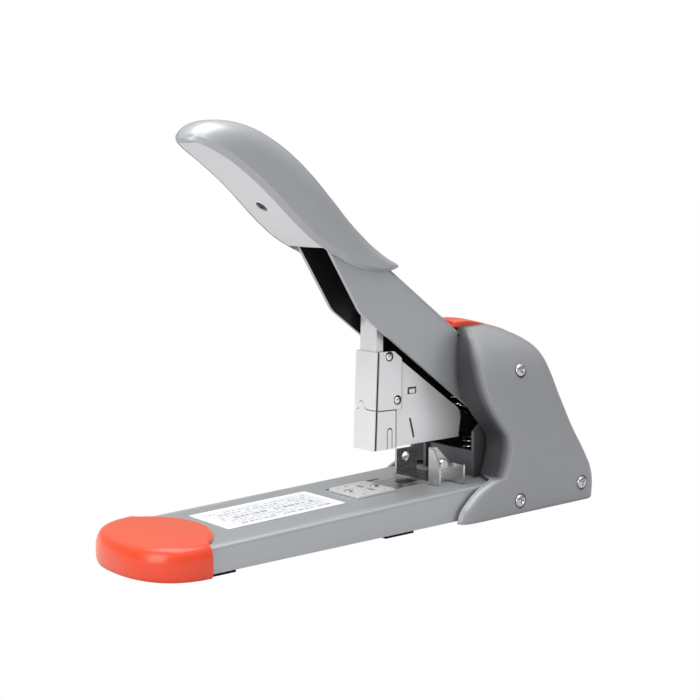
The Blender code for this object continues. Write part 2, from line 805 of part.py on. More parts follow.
for side, sign in (("left", -1), ("right", 1)):
    near, far = sorted((sign * plate_inside, sign * plate_outside))
    plate = outline(f"head_side_{side}", side_outline, near, far, NICKEL, head)
    for row, (rivet_x, rivet_z) in zip(("top", "low"), rivet_spots):
        middle = sign * (plate_inside + head_half) / 2
        for target, tag in ((plate, "plate"), (front_guard, "guard")):
            rod(
                f"rivet_{row}_{side}_{tag}_cut",
                (rivet_x, middle, rivet_z),
                1.1 + LAP,
                6,
                "y",
                sides=14,
                cutter_of=target,
            )
        shank = head_half - plate_inside + LAP
        turned(
            f"guard_rivet_{row}_{side}",
            [(0, shank + 0.75), (1.2, shank + 0.6), (1.8, shank), (1.1, shank), (1.1, LAP), (0, LAP)],
            (0, 0, 0),
            (0, sign, 0),
            NICKEL,
            head,
            sides=14,
        ).location = world(rivet_x, sign * (plate_inside - 0.1), rivet_z) - parent_place(head)

yoke_outline = (
    [(YOKE_FRONT, 41.6), (52.0, 41.6), (90.0, 29.5)]
    + arc(HEAD_AXIS, 6.3, -120, 80, 10)
    + [(82.0, 42.6), (64.0, 47.5), (51.0, 47.5), (50.0, 53.0), (YOKE_FRONT, 53.0)]
)
head_yoke = outline("head_yoke", yoke_outline, -yoke_half, yoke_half, DARK_STEEL, head)
rail_half = RAIL_WIDTH / 2
fork = rail_half + 0.25
box("yoke_fork_cut", (YOKE_FRONT - 2, -fork, 30), (50.2, fork, 60), cutter_of=head_yoke)
rod("yoke_bore_cut", (tail_x, 0, tail_z), HEAD_PIN_RADIUS + RUN, 30, "y", cutter_of=head_yoke)


# Magazine: nose, rail, staple strip, pusher and its spring

strip_front = face(RAIL_TOP) + HEAD_SHEET + LAP + BLADE_THICK + LAP
nose_outline_side = [
    (face(HEAD_BOTTOM), HEAD_BOTTOM),
    (6.7, HEAD_BOTTOM),
    (6.7, GUARD_BOTTOM - 1.0),
    (face(GUARD_BOTTOM - 0.6), GUARD_BOTTOM - 0.6),
]
magazine_nose = outline("magazine_nose", nose_outline_side, -head_half, head_half, NICKEL, magazine)
inner_nose = [
    (face(HEAD_BOTTOM - 4) + HEAD_SHEET, HEAD_BOTTOM - 4),
    (30, HEAD_BOTTOM - 4),
    (30, HEAD_TOP),
    (face(HEAD_TOP) + HEAD_SHEET, HEAD_TOP),
]
outline("nose_inside_cut", inner_nose, -guard_inside, guard_inside, NICKEL, cutter_of=magazine_nose)

rail_low = HEAD_BOTTOM + 0.8
magazine_rail = box(
    "magazine_rail",
    (strip_front, -rail_half, rail_low),
    (RAIL_REAR, rail_half, RAIL_TOP),
    NICKEL,
    magazine,
)
box(
    "rail_inside_cut",
    (strip_front + RAIL_SHEET, -rail_half + RAIL_SHEET, rail_low - 5),
    (RAIL_REAR + 5, rail_half - RAIL_SHEET, RAIL_TOP - RAIL_SHEET),
    cutter_of=magazine_rail,
)
box("rail_slot_cut", (8, -1.3, RAIL_TOP - 5), (RAIL_REAR - 1.5, 1.3, RAIL_TOP + 5), cutter_of=magazine_rail)


def straddle(name, x0, x1, crown_height, legs, shade, parent):
    """A staple-shaped piece over the rail."""
    seat = RAIL_TOP + LAP
    made = box(
        name,
        (x0, -CROWN / 2, seat + crown_height - legs),
        (x1, CROWN / 2, seat + crown_height),
        shade,
        parent,
    )
    box(
        name + "_inside_cut",
        (x0 - 2, -rail_half - 0.2, seat - legs - 5),
        (x1 + 2, rail_half + 0.2, seat),
        cutter_of=made,
    )
    return made


straddle("staple_strip", strip_front, STRIP_LENGTH + strip_front, STAPLE_WIRE, STAPLE_LEG, NICKEL, magazine)
pusher_front = STRIP_LENGTH + strip_front + TOUCH
pusher = straddle("pusher", pusher_front, pusher_front + PUSHER_LENGTH, STAPLE_WIRE, 14.0, DARK_STEEL, pusher_slide)
spring_z = RAIL_TOP - 7.5
tab = box(
    "pusher_tab",
    (pusher_front + 3.5, -0.95, spring_z - 2.0),
    (pusher_front + PUSHER_LENGTH - 0.8, 0.95, RAIL_TOP + LAP + 0.6),
)
boolean(pusher, tab, "UNION")
spring_start = strip_front + RAIL_SHEET + LAP
coil(
    "pusher_spring",
    (0, 0, 0),
    (1, 0, 0),
    2.3,
    0.7,
    pusher_front + 3.5 - LAP - spring_start,
    13,
    magazine,
).location = world(spring_start, 0, spring_z) - parent_place(magazine)


# Driver: carrier with the slot for the lever's pin, and the blade below it

pin_x, pin_z = DRIVER_PIN
slot_front = pin_x - DRIVER_PIN_TRAVEL - DRIVER_PIN_RADIUS - 0.5
slot_rear = pin_x + DRIVER_PIN_RADIUS + 0.7
slot_reach = DRIVER_PIN_RADIUS + DRIVER_SLOT_PLAY
blade_top = 83.5
block_front = face(HEAD_TOP) + HEAD_SHEET + LAP + 0.2
carrier_half = CROWN / 2
block_outline = [
    (block_front - 0.1, blade_top),
    (block_front + 4.4, blade_top),
    (block_front + 4.4, pin_z - slot_reach - 4.0),
    (slot_rear + 1.5, pin_z - slot_reach - 4.0),
    (slot_rear + 3.0, pin_z - slot_reach - 2.0),
    (slot_rear + 3.0, pin_z + slot_reach + 1.2),
    (slot_rear + 1.5, pin_z + slot_reach + 2.8),
    (block_front + 2.0, pin_z + slot_reach + 2.8),
    (block_front + 0.6, pin_z + slot_reach),
]
driver_block = outline("driver_block", block_outline, -carrier_half, carrier_half, NICKEL, driver)
box(
    "driver_slot_cut",
    (slot_front, -20, pin_z - slot_reach),
    (slot_rear, 20, pin_z + slot_reach),
    cutter_of=driver_block,
)
lug_room = LUG_THICK / 2 + RUN
lug_low = pin_z - LUG_RADIUS - DRIVER_SLOT_PLAY - RUN
box(
    "driver_lug_cut",
    (pin_x - DRIVER_PIN_TRAVEL - 0.7 - LUG_RADIUS - RUN, -lug_room, lug_low),
    (slot_rear + 20, lug_room, pin_z + 20),
    cutter_of=driver_block,
)
tip = HEAD_BOTTOM + DRIVER_STROKE + 0.3
blade_outline = [
    (face(tip) + HEAD_SHEET + LAP, tip),
    (face(tip) + HEAD_SHEET + LAP + BLADE_THICK, tip),
    (face(blade_top) + HEAD_SHEET + LAP + BLADE_THICK, blade_top - TOUCH),
    (face(blade_top) + HEAD_SHEET + LAP, blade_top - TOUCH),
]
outline("driver_blade", blade_outline, -CROWN / 2, CROWN / 2, SPRING_STEEL, driver)


# Lever arm, its pin, and the grip

arm_low = -ARM_HALF_DEPTH
arm_high = ARM_HALF_DEPTH
arm_outline = (
    [(0, arm_low), (ARM_KINK, arm_low), (ARM_KINK + 2.8, arm_low + 0.6)]
    + [(ARM_UNDER_GRIP, 0.0), (ARM_UNDER_GRIP + 2.5, 3.4), (ARM_END, 3.4), (ARM_END, arm_high)]
    + [(0, arm_high)]
    + [(-ARM_TAIL * math.sin(math.pi * i / 8), arm_high * math.cos(math.pi * i / 8)) for i in range(1, 8)]
)
lever_arm = outline("lever_arm", [on_arm(s, t) for s, t in arm_outline], -arm_half, arm_half, SILVER_PAINT, handle)
arm_inside = arm_half - ARM_SHEET
arm_hollow = [(-30, arm_high - ARM_SHEET), (-30, -40), (ARM_END + 20, -40), (ARM_END + 20, arm_high - ARM_SHEET)]
outline("arm_inside_cut", [on_arm(s, t) for s, t in arm_hollow], -arm_inside, arm_inside, SILVER_PAINT, cutter_of=lever_arm)
rod("arm_bore_cut", (axis_x, 0, axis_z), HANDLE_PIN_RADIUS + RUN, 60, "y", cutter_of=lever_arm)
pin_s, pin_t = off_arm(pin_x, pin_z)
lug = [(pin_s + LUG_RADIUS, arm_high - ARM_SHEET / 2), (pin_s - LUG_RADIUS, arm_high - ARM_SHEET / 2)]
lug += arc((pin_s, pin_t), LUG_RADIUS, 180, 360, 16)
lug_piece = outline("arm_lug", [on_arm(s, t) for s, t in lug], -LUG_THICK / 2, LUG_THICK / 2, SILVER_PAINT)
boolean(lever_arm, lug_piece, "UNION")
rod("pin_bore_cut", (pin_x, 0, pin_z), DRIVER_PIN_RADIUS + RUN, LUG_THICK + 3, "y", cutter_of=lever_arm)
rod("driver_pin", (pin_x, 0, pin_z), DRIVER_PIN_RADIUS, 2 * (carrier_half - 0.1), "y", SPRING_STEEL, handle)

GRIP_TOP = ((109.4, 18.6), (117, 17.9), (126, 17.9), (132, 18.4), (141, 19.1), (147, 19.8), (157, 21.5))
GRIP_TOP += ((162, 22.3), (171, 23.7), (176, 24.3), (184, 24.9), (189, 25.0), (196, 24.8), (201, 24.3))
GRIP_TOP += ((206, 23.5), (211, 22.5), (219, 19.8), (226, 16.2), (231, 12.7), (234.5, 9.2), (236.6, 6.2))
GRIP_TOP += ((238.0, 3.2), (GRIP_TIP, 0.6))
GRIP_UNDER = ((109.4, 14.6), (112.8, 11.3), (117.9, 7.6), (126.5, 3.4), (136.3, 0.4), (145, -1.0), (152, -2.2))
GRIP_UNDER += ((157, -2.9), (163, -3.3), (172, -3.0), (180, -2.3), (190, -1.2), (199, -0.4), (209, -0.1))
GRIP_UNDER += ((219, -0.3), (226, -1.0), (231, -1.6), (235, -2.3), (GRIP_TIP, -3.2))
GRIP_HALF = ((109.4, 13.8), (117, 14.6), (136, 15.2), (150, 16.2), (163, 17.0), (176, 17.2), (190, 16.8))
GRIP_HALF += ((203, 16.3), (213, 15.9), (220, 15.3), (226, 14.2), (230, 12.9), (233, 11.3), (236, 8.6))
GRIP_HALF += ((237.8, 5.6), (GRIP_TIP, 2.4))


def grip_ring(s, inset=0.0, drop=0.0):
    """The grip's section at s: flat underneath and rounded on top."""
    half = between(s, GRIP_HALF) - inset
    top = between(s, GRIP_TOP) - inset
    low = between(s, GRIP_UNDER) - drop
    rim = min(GRIP_RIM, (top - low) * 0.35)
    flat = half - min(GRIP_CHAMFER, half * 0.4)
    ring = [(s, flat, low)]
    for i in range(15):
        a = math.pi * i / 14
        across = math.copysign(abs(math.cos(a)) ** 0.62, math.cos(a))
        ring.append((s, half * across, low + rim + (top - low - rim) * math.sin(a) ** 0.76))
    ring.append((s, -flat, low))
    return [(*on_arm(s, t),) + (y,) for s, y, t in ring]


def grip_loft(name, stations, inset, drop, cutter_of=None):
    rings = [[(x, y, z) for x, z, y in grip_ring(s, inset, drop)] for s in stations]
    return loft(name, rings, GREY_PLASTIC, None if cutter_of else handle, cutter_of=cutter_of)


grip_stations = (109.4, 112.8, 118, 127, 137, 147, 157, 170, 183, 196, 206, 214, 221, 227, 231.5, 235, 237.4, GRIP_TIP)
grip_shell = grip_loft("grip_shell", grip_stations, 0.0, 0.0)
room = arm_half + TOUCH
arm_room = [(80, -30), (ARM_END + TOUCH, -30), (ARM_END + TOUCH, arm_high + TOUCH), (80, arm_high + TOUCH)]
outline("grip_arm_cut", [on_arm(s, t) for s, t in arm_room], -room, room, GREY_PLASTIC, cutter_of=grip_shell)


def plate_edge(s, gap):
    return between(s, GRIP_HALF) - GRIP_CHAMFER - 0.6 - gap


def plate_rings(stations, gap, low, high):
    """Sections of a plate that follows the grip's underside, and of the recess that takes it."""
    rings = []
    for s in stations:
        half = plate_edge(s, gap)
        under = between(s, GRIP_UNDER)
        corners = ((half, low), (half, high), (-half, high), (-half, low))
        ring = [(*on_arm(s, under + t), y) for y, t in corners]
        rings.append([(x, y, z) for x, z, y in ring])
    return rings


plate_stations = (GRIP_PLATE_REAR, 164, 175, 187.5, 200.5, 210.4, 218, 224.4, 229.6, 233.5)
recess = (GRIP_PLATE_REAR - 4.0,) + plate_stations[1:-1] + (plate_stations[-1] + TOUCH,)
recess_rings = plate_rings(recess, 0, -4, 0.4 + GRIP_PLATE_SHEET + TOUCH)
loft("plate_recess_cut", recess_rings, GREY_PLASTIC, cutter_of=grip_shell)
inside_stations = (GRIP_PLATE_REAR - 0.6, 161, 173, 185.6, 198.2, 208.3, 216.4, 222.6, 225.7)
grip_loft("grip_inside_cut", inside_stations, GRIP_WALL, 5.0, grip_shell)
grip_plate = loft("grip_plate", plate_rings(plate_stations, TOUCH, 0.4, 0.4 + GRIP_PLATE_SHEET), PALE_PLASTIC, handle)

SCREW_AT = 185.0
boss_top = between(SCREW_AT, GRIP_TOP) - GRIP_WALL / 2
boss_low = between(SCREW_AT, GRIP_UNDER) + 0.8 + GRIP_PLATE_SHEET + TOUCH
up = (math.sin(ARM_ANGLE), 0, math.cos(ARM_ANGLE))
square = Vector(up).to_track_quat("Z", "Y").to_matrix().to_4x4()


def upright_rod(name, s, low, high, radius, shade, target, operation):
    """A round bar square to the arm, cut from or joined to a piece."""
    mesh = bpy.data.meshes.new(name)
    work = bmesh.new()
    bmesh.ops.create_cone(
        work, cap_ends=True, segments=20, radius1=radius * MM, radius2=radius * MM, depth=(high - low) * MM
    )
    work.to_mesh(mesh)
    work.free()
    x, z = on_arm(s, (low + high) / 2)
    mesh.transform(Matrix.Translation(world(x, 0, z)) @ square)
    boolean(target, placed(name, mesh, shade, None, 0.0, None), operation)


upright_rod("screw_boss", SCREW_AT, boss_low, boss_top, 4.2, GREY_PLASTIC, grip_shell, "UNION")
upright_rod("boss_bore_cut", SCREW_AT, boss_low - 5, boss_low + 12, 1.5 + RUN, GREY_PLASTIC, grip_shell, "DIFFERENCE")
upright_rod("plate_hole_cut", SCREW_AT, -20, boss_low + 3, 1.5 + RUN, PALE_PLASTIC, grip_plate, "DIFFERENCE")
head_seat = between(SCREW_AT, GRIP_UNDER) + 0.4
upright_rod("plate_sink_cut", SCREW_AT, -20, head_seat + 1.2, 3.0, PALE_PLASTIC, grip_plate, "DIFFERENCE")
screw_x, screw_top = on_arm(SCREW_AT, head_seat + 1.0)
turned(
    "grip_screw",
    [(0, 11.0), (1.5, 10.4), (1.5, 0), (2.6, 0), (2.6, -0.8), (0, -0.8)],
    (0, 0, 0),
    up,
    SPRING_STEEL,
    handle,
    sides=18,
).location = world(screw_x, 0, screw_top) - parent_place(handle)


# Springs that stand upright

LIFT_AT = 57.5
lift_low = 47.5 + TOUCH
arm_roof = on_arm((HANDLE_AXIS[0] - LIFT_AT) / math.cos(ARM_ANGLE), 0)[1]
arm_roof += (arm_high - ARM_SHEET) / math.cos(ARM_ANGLE) - 4.6 * math.tan(ARM_ANGLE)
coil(
    "handle_spring",
    (0, 0, 0),
    (0, 0, 1),
    4.0,
    1.2,
    arm_roof - TOUCH - lift_low,
    9,
    head,
).location = world(LIFT_AT, 0, lift_low) - parent_place(head)
HEAD_SPRING_AT = 66.0
yoke_under = 41.6 - (HEAD_SPRING_AT + 5 - 52.0) * (41.6 - 29.5) / (90.0 - 52.0)
head_spring_low = deck(HEAD_SPRING_AT) + TOUCH + 0.2
coil(
    "head_spring",
    (HEAD_SPRING_AT, 0, head_spring_low),
    (0, 0, 1),
    4.2,
    1.2,
    yoke_under - TOUCH - head_spring_low,
    6,
)


# Cover: two shells about the frame and the orange spine over their joint

cover_half = base_half + COVER_OVERHANG
REAR = ((0.5, 125.4), (8, 126.0), (17.5, 124.2), (23, 121.2), (28.6, 117.8), (36, 113.2), (43, 109.6))
REAR += ((56, 105.4), (70, 102.8), (78, 101.2), (82, 99.9), (85, 98.2), (88.2, 94.0), (92, 85.0), (95.3, 73.5))
REAR += ((97.6, 61.8), (98.9, 54.0))
NARROWER = ((10, 0.0), (30, 0.0), (46, 1.0), (60, 3.8), (75, 7.8), (85, 12.5), (92, 18.2), (95, 21.6), (98.6, 25.4))
MOUTH_X = ((21.5, 53.4), (28, 55.5), (36, 57.0), (41, 56.1), (46, 52.8), (52, 48.9), (58, 45.9), (66, 43.5))
MOUTH_X += ((75, 42.2), (85, 42.5), (93, 44.9), (98.6, 48.5))
MOUTH_HALF = ((41, 20.6), (46, 19.6), (52, 17.4), (58, 15.8), (66, 14.8), (75, 14.4), (93, 14.0), (98.6, 12.0))
CREST_X = ((20, 47.6), (27, 53.0), (33, 55.0), (41, 54.0), (49, 50.0), (57, 46.0), (68, 44.0), (98.6, 49.0))
WEDGE_X = ((0.5, 24.5), (6.6, 26.5), (11, 31.0), (15.5, 36.8), (19.2, 44.0))
CORNER = ((0.5, 10.0), (20, 10.0), (45, 12.5), (60, 15.0), (75, 19.0), (88, 24.0), (98.6, 12.0))
WEDGE_TOP = 20.0


def cover_row(level, inset=0.0):
    """A cover shell at one level, from its front edge round to the rear, on the +y side."""
    half = cover_half - between(level, NARROWER) - inset
    rear = between(level, REAR) - inset
    if level < WEDGE_TOP:
        front_x = between(level, WEDGE_X) + inset
        front_y = base_half + TOUCH + 1.0
        crest_x = front_x + 2.8
    else:
        front_x = between(level, MOUTH_X) + inset
        crest_x = max(between(level, CREST_X) + inset, front_x + 0.8)
        front_y = min(between(level, MOUTH_HALF), half + inset - 1.6)
    rise = max(half - front_y, 0.5)
    lip = [
        (front_x, front_y),
        (front_x + (crest_x - front_x) * 0.45, front_y + rise * 0.45),
        (crest_x, front_y + rise * 0.85),
        (crest_x + 3.0, front_y + rise * 0.98),
    ]
    side_start = crest_x + 7.0
    radius = min(between(level, CORNER) - inset, (rear - side_start) * 0.7, half - 1.0)
    corner_x = rear - radius
    side = [(side_start + (corner_x - side_start) * i / 3, half) for i in range(4)]
    bend = arc((corner_x, half - radius), radius, 90, 12, 5)[1:]
    last_x, last_y = bend[-1]
    tail = [(last_x + (rear - last_x) * 0.7, last_y * 0.5)]
    return lip + side + bend + tail, front_x, rear


COVER_LEVELS = (4.5, 9, 13, 16.5, 19.2, 21.6, 25, 29, 34, 40, 46, 52, 58, 65, 72, 79, 85, 90)
COVER_TOP = 97.6
SEAM = 0.15
SPINE_HALF = ((43.0, 10.6), (60, 9.6), (80, 7.6), (92, 5.0), (98, 2.4))
SPINE_REAR = 98.0


def spine_ring(x, grow, low, high):
    half = between(x, SPINE_HALF) + grow
    top = between(x, sorted((rear, level + 0.3) for level, rear in REAR if level > 80))
    crown = half * 0.08
    return [
        (x, -half, top + low),
        (x, half, top + low),
        (x, half, top + high - crown),
        (x, 0, top + high),
        (x, -half, top + high - crown),
    ]


def cover_shell(side, sign):
    """One cover shell: the outer body with the hollow, the mouth and the spine's seat taken out."""
    rings = []
    for level in (COVER_BOTTOM, *COVER_LEVELS, 94.5, COVER_TOP):
        row, front_x, rear = cover_row(level)
        ring = [(front_x, SEAM)] + row + [(rear, SEAM)]
        rings.append([(x, sign * y, level) for x, y in ring])
    shell = loft(f"cover_{side}", rings, GREY_PLASTIC)
    rings = []
    for level in (-4.0, *COVER_LEVELS, 93.2, COVER_TOP - COVER_WALL):
        lift = between(level, ((60, 0.0), (80, COVER_WALL * 0.65), (90, COVER_WALL)))
        thin = between(level, ((60, 1.0), (85, 0.8), (95, 0.6)))
        row, front_x, rear = cover_row(level + lift, COVER_WALL * thin)
        ring = [(front_x - 30, -6), (front_x - 30, row[0][1])] + row + [(rear, -6)]
        rings.append([(x, sign * y, level) for x, y in ring])
    loft(f"cover_{side}_hollow_cut", rings, GREY_PLASTIC, cutter_of=shell)
    rings = [spine_ring(x, TOUCH, -12, 20) for x in (30, 43.0, 60, 80, 92, SPINE_REAR, SPINE_REAR + TOUCH)]
    loft(f"cover_{side}_spine_cut", rings, GREY_PLASTIC, cutter_of=shell)
    return shell


COVER_SCREWS = (("upper", 70.9, 73.1, 0.6), ("front", 64.8, 7.6, 0.8), ("rear", 111.5, 10.5, 0.8))
for side, sign in (("left", -1), ("right", 1)):
    shell = cover_shell(side, sign)
    for row, hole_x, hole_z, sink in COVER_SCREWS:
        surface = cover_half - between(hole_z, NARROWER)
        spot = (hole_x, sign * surface, hole_z)
        rod(f"hole_{row}_{side}_cut", spot, SCREW_SHANK_RADIUS + RUN, 12, "y", sides=16, cutter_of=shell)
        spot = (hole_x, sign * (surface - sink + 5), hole_z)
        rod(f"seat_{row}_{side}_cut", spot, SCREW_HEAD_RADIUS + RUN * 2, 10, "y", cutter_of=shell)
        turned(
            f"cover_screw_{row}_{side}",
            [
                (0, 1.8),
                (1.6, 1.7),
                (SCREW_HEAD_RADIUS, 0.7),
                (SCREW_HEAD_RADIUS, 0),
                (SCREW_SHANK_RADIUS, 0),
                (SCREW_SHANK_RADIUS, -3.8),
                (0, -3.8),
            ],
            (hole_x, sign * (surface - sink + LAP), hole_z),
            (0, sign, 0),
            SPRING_STEEL,
            sides=18,
        )
spine_stations = (44.0, 49.3, 60.8, 72.5, 80.0, 85.0, 90.0, 94.0, 96.0, SPINE_REAR)
loft("top_spine", [spine_ring(x, 0.0, -SPINE_THICK, 0.0) for x in spine_stations], ORANGE_PLASTIC)
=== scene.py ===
"""Looks of the lever stapler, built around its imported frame.

Sizes are in millimetres: x from the nose to the rear, y across, z up from the ground. x is
measured from the same datum plane as the CAD, and X_DATUM moves it to the frame's origin.
"""

import json
import math

import bmesh
import bpy
from mathutils import Matrix, Vector

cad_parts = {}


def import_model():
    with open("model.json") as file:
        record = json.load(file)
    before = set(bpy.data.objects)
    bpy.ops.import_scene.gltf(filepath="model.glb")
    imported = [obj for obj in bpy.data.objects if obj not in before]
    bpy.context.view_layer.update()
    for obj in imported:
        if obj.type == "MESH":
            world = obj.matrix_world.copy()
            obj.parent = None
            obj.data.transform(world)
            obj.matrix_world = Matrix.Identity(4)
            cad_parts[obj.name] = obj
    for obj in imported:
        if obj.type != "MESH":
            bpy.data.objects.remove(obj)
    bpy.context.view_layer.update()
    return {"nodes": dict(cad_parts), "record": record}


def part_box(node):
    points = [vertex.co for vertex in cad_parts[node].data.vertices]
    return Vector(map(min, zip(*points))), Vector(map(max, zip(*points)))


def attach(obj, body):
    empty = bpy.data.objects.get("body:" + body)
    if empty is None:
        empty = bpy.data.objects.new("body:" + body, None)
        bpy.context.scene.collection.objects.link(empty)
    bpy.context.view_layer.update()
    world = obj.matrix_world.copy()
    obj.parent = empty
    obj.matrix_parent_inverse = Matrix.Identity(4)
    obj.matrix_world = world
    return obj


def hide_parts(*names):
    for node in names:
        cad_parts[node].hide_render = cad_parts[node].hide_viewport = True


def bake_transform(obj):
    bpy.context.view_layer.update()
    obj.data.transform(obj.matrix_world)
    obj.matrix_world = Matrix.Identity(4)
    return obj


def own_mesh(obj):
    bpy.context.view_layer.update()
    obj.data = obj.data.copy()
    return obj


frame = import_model()
nodes = frame["nodes"]
scene = bpy.context.scene

MM = 0.001
X_DATUM = 12.25
HANDLE_AXIS = (82.0, 50.2)
ARM_ANGLE = math.radians(36.0)
FACE_LEAN = math.radians(2.3)
DECK_SLOPE = math.radians(1.339)
DECK_AT_DATUM = 17.12
HEAD_TOP, FACE_AT_TOP = 86.1, -5.7
SIDES = (("left", -1), ("right", 1))


def deck(x):
    """Height of the sloping deck."""
    return DECK_AT_DATUM + x * math.tan(DECK_SLOPE)


def face(z):
    """Place in x of the head's leaning front face."""
    return FACE_AT_TOP - (HEAD_TOP - z) * math.tan(FACE_LEAN)


def world(x, y, z):
    return Vector(((x + X_DATUM) * MM, y * MM, z * MM))


def on_arm(s, t):
    """Turns s along the lever arm and t square to it into x and z."""
    c, n = math.cos(ARM_ANGLE), math.sin(ARM_ANGLE)
    return HANDLE_AXIS[0] - s * c + t * n, HANDLE_AXIS[1] + s * n + t * c


def smooth(table, x):
    """Cubic value at x through (x, value) pairs in rising order."""
    if x <= table[0][0]:
        return table[0][1]
    if x >= table[-1][0]:
        return table[-1][1]
    i = max(k for k in range(len(table) - 1) if table[k][0] <= x)
    (x0, v0), (x1, v1) = table[i], table[i + 1]
    rise = (v1 - v0) / (x1 - x0)
    before = (v0 - table[i - 1][1]) / (x0 - table[i - 1][0]) if i else rise
    after = (table[i + 2][1] - v1) / (table[i + 2][0] - x1) if i + 2 < len(table) else rise
    m0 = (before + rise) / 2 if before * rise > 0 else 0.0
    m1 = (after + rise) / 2 if after * rise > 0 else 0.0
    if i == 0:
        m0 = rise
    if i + 2 == len(table):
        m1 = rise
    h = x1 - x0
    u = (x - x0) / h
    return (
        v0 * (2 * u**3 - 3 * u**2 + 1)
        + m0 * h * (u**3 - 2 * u**2 + u)
        + v1 * (3 * u**2 - 2 * u**3)
        + m1 * h * (u**3 - u**2)
    )


def between(x, table):
    """Straight-line value at x through (x, value) pairs in rising order."""
    if x <= table[0][0]:
        return table[0][1]
    for (x0, v0), (x1, v1) in zip(table, table[1:]):
        if x <= x1:
            return v0 + (v1 - v0) * (x - x0) / (x1 - x0)
    return table[-1][1]


def arc(centre, radius, start, end, steps):
    angles = [math.radians(start + (end - start) * i / steps) for i in range(steps + 1)]
    return [(centre[0] + radius * math.cos(a), centre[1] + radius * math.sin(a)) for a in angles]


def rect(x0, x1, y0, y1):
    return [(x0, y0), (x1, y0), (x1, y1), (x0, y1)]


def fillet(points, radius, steps=4):
    """The closed polygon with each corner rounded. radius is one number, or one per corner."""
    made = []
    count = len(points)
    for i, here in enumerate(points):
        r = radius[i] if isinstance(radius, (list, tuple)) else radius
        corner = Vector(here)
        back = Vector(points[i - 1]) - corner
        ahead = Vector(points[(i + 1) % count]) - corner
        if r <= 0 or back.length < 1e-6 or ahead.length < 1e-6:
            made.append(tuple(corner))
            continue
        turn = back.angle(ahead)
        reach = min(r / math.tan(turn / 2), back.length * 0.48, ahead.length * 0.48)
        start = corner + back.normalized() * reach
        end = corner + ahead.normalized() * reach
        for k in range(steps + 1):
            u = k / steps
            made.append(tuple(start * (1 - u) ** 2 + corner * 2 * u * (1 - u) + end * u**2))
    return made


# Materials


def node(tree, kind, **values):
    made = tree.nodes.new(kind)
    for key, value in values.items():
        if key in made.inputs:
            made.inputs[key].default_value = value
        else:
            setattr(made, key, value)
    return made


def finish_material(
    name,
    colour,
    rough,
    metal=0.0,
    mottle=0.05,
    mottle_scale=60.0,
    grain=2500.0,
    depth=0.02,
    spread=0.06,
    stretch=(1, 1, 1),
    coat=0.0,
    sheen=0.0,
    sheen_tint=(1, 1, 1),
    shade_to=None,
):
    """A Principled material with mottled colour, uneven roughness and a fine grain.

    shade_to is a second colour for painted shade, which the mesh attribute "shade" blends in.
    """
    made = bpy.data.materials.new(name)
    made.use_nodes = True
    tree = made.node_tree
    shader = tree.nodes["Principled BSDF"]
    shader.inputs["Metallic"].default_value = metal
    shader.inputs["Coat Weight"].default_value = coat
    shader.inputs["Coat Roughness"].default_value = 0.15
    shader.inputs["Sheen Weight"].default_value = sheen
    shader.inputs["Sheen Tint"].default_value = (*sheen_tint, 1)
    shader.inputs["Sheen Roughness"].default_value = 0.45
    place = node(tree, "ShaderNodeTexCoord")
    mapping = node(tree, "ShaderNodeMapping")
    mapping.inputs["Scale"].default_value = stretch
    tree.links.new(place.outputs["Object"], mapping.inputs["Vector"])

    broad = node(tree, "ShaderNodeTexNoise", Scale=mottle_scale, Detail=3.0, Roughness=0.6)
    tree.links.new(mapping.outputs[0], broad.inputs["Vector"])
    blend = node(tree, "ShaderNodeMix", data_type="RGBA")
    light = [min(c * (1 + mottle), 1) for c in colour]
    dark = [c * (1 - mottle) for c in colour]
    blend.inputs[6].default_value = (*dark, 1)
    blend.inputs[7].default_value = (*light, 1)
    tree.links.new(broad.outputs["Fac"], blend.inputs[0])
    out = blend.outputs[2]
    if shade_to:
        tint = node(tree, "ShaderNodeMix", data_type="RGBA")
        tint.inputs[7].default_value = (*shade_to, 1)
        mask = node(tree, "ShaderNodeAttribute", attribute_name="shade")
        tree.links.new(mask.outputs["Fac"], tint.inputs[0])
        tree.links.new(out, tint.inputs[6])
        out = tint.outputs[2]
    tree.links.new(out, shader.inputs["Base Color"])

    fine = node(tree, "ShaderNodeTexNoise", Scale=grain, Detail=2.0, Roughness=0.5)
    tree.links.new(mapping.outputs[0], fine.inputs["Vector"])
    rough_map = node(tree, "ShaderNodeMapRange")
    rough_map.inputs["To Min"].default_value = max(rough - spread, 0.02)
    rough_map.inputs["To Max"].default_value = min(rough + spread, 1.0)
    tree.links.new(broad.outputs["Fac"], rough_map.inputs["Value"])
    tree.links.new(rough_map.outputs["Result"], shader.inputs["Roughness"])
    bump = node(tree, "ShaderNodeBump", Strength=depth, Distance=0.0002)
    tree.links.new(fine.outputs["Fac"], bump.inputs["Height"])
    tree.links.new(bump.outputs["Normal"], shader.inputs["Normal"])
    return made


SILVER = finish_material(
    "silver_paint",
    (0.455, 0.47, 0.483),
    0.36,
    metal=0.55,
    mottle_scale=900,
    depth=0.12,
    grain=3000,
)
SATIN = finish_material(
    "satin_plastic",
    (0.315, 0.322, 0.332),
    0.40,
    metal=0.25,
    mottle=0.04,
    mottle_scale=700,
    depth=0.10,
    # Painted shade: shade_to darkens the cover shells where their shade attribute is set.
    shade_to=(0.012, 0.013, 0.016),
)
GRIP = finish_material(
    "grip_plastic", (0.41, 0.422, 0.435), 0.34, metal=0.35, mottle=0.04, mottle_scale=700, depth=0.08
)
ORANGE = finish_material(
    "orange_plastic",
    (0.74, 0.050, 0.010),
    0.30,
    mottle=0.03,
    mottle_scale=300,
    depth=0.05,
    sheen=0.4,
    sheen_tint=(1.0, 0.62, 0.38),
    coat=0.25,
)
PALE = finish_material("pale_plastic", (0.62, 0.625, 0.635), 0.42, mottle=0.03, mottle_scale=400, depth=0.05)
NICKEL = finish_material(
    "nickel_plate",
    (0.80, 0.795, 0.785),
    0.15,
    metal=1.0,
    mottle=0.04,
    mottle_scale=120,
    stretch=(1, 1, 7),
    grain=1500,
    depth=0.05,
    spread=0.06,
)
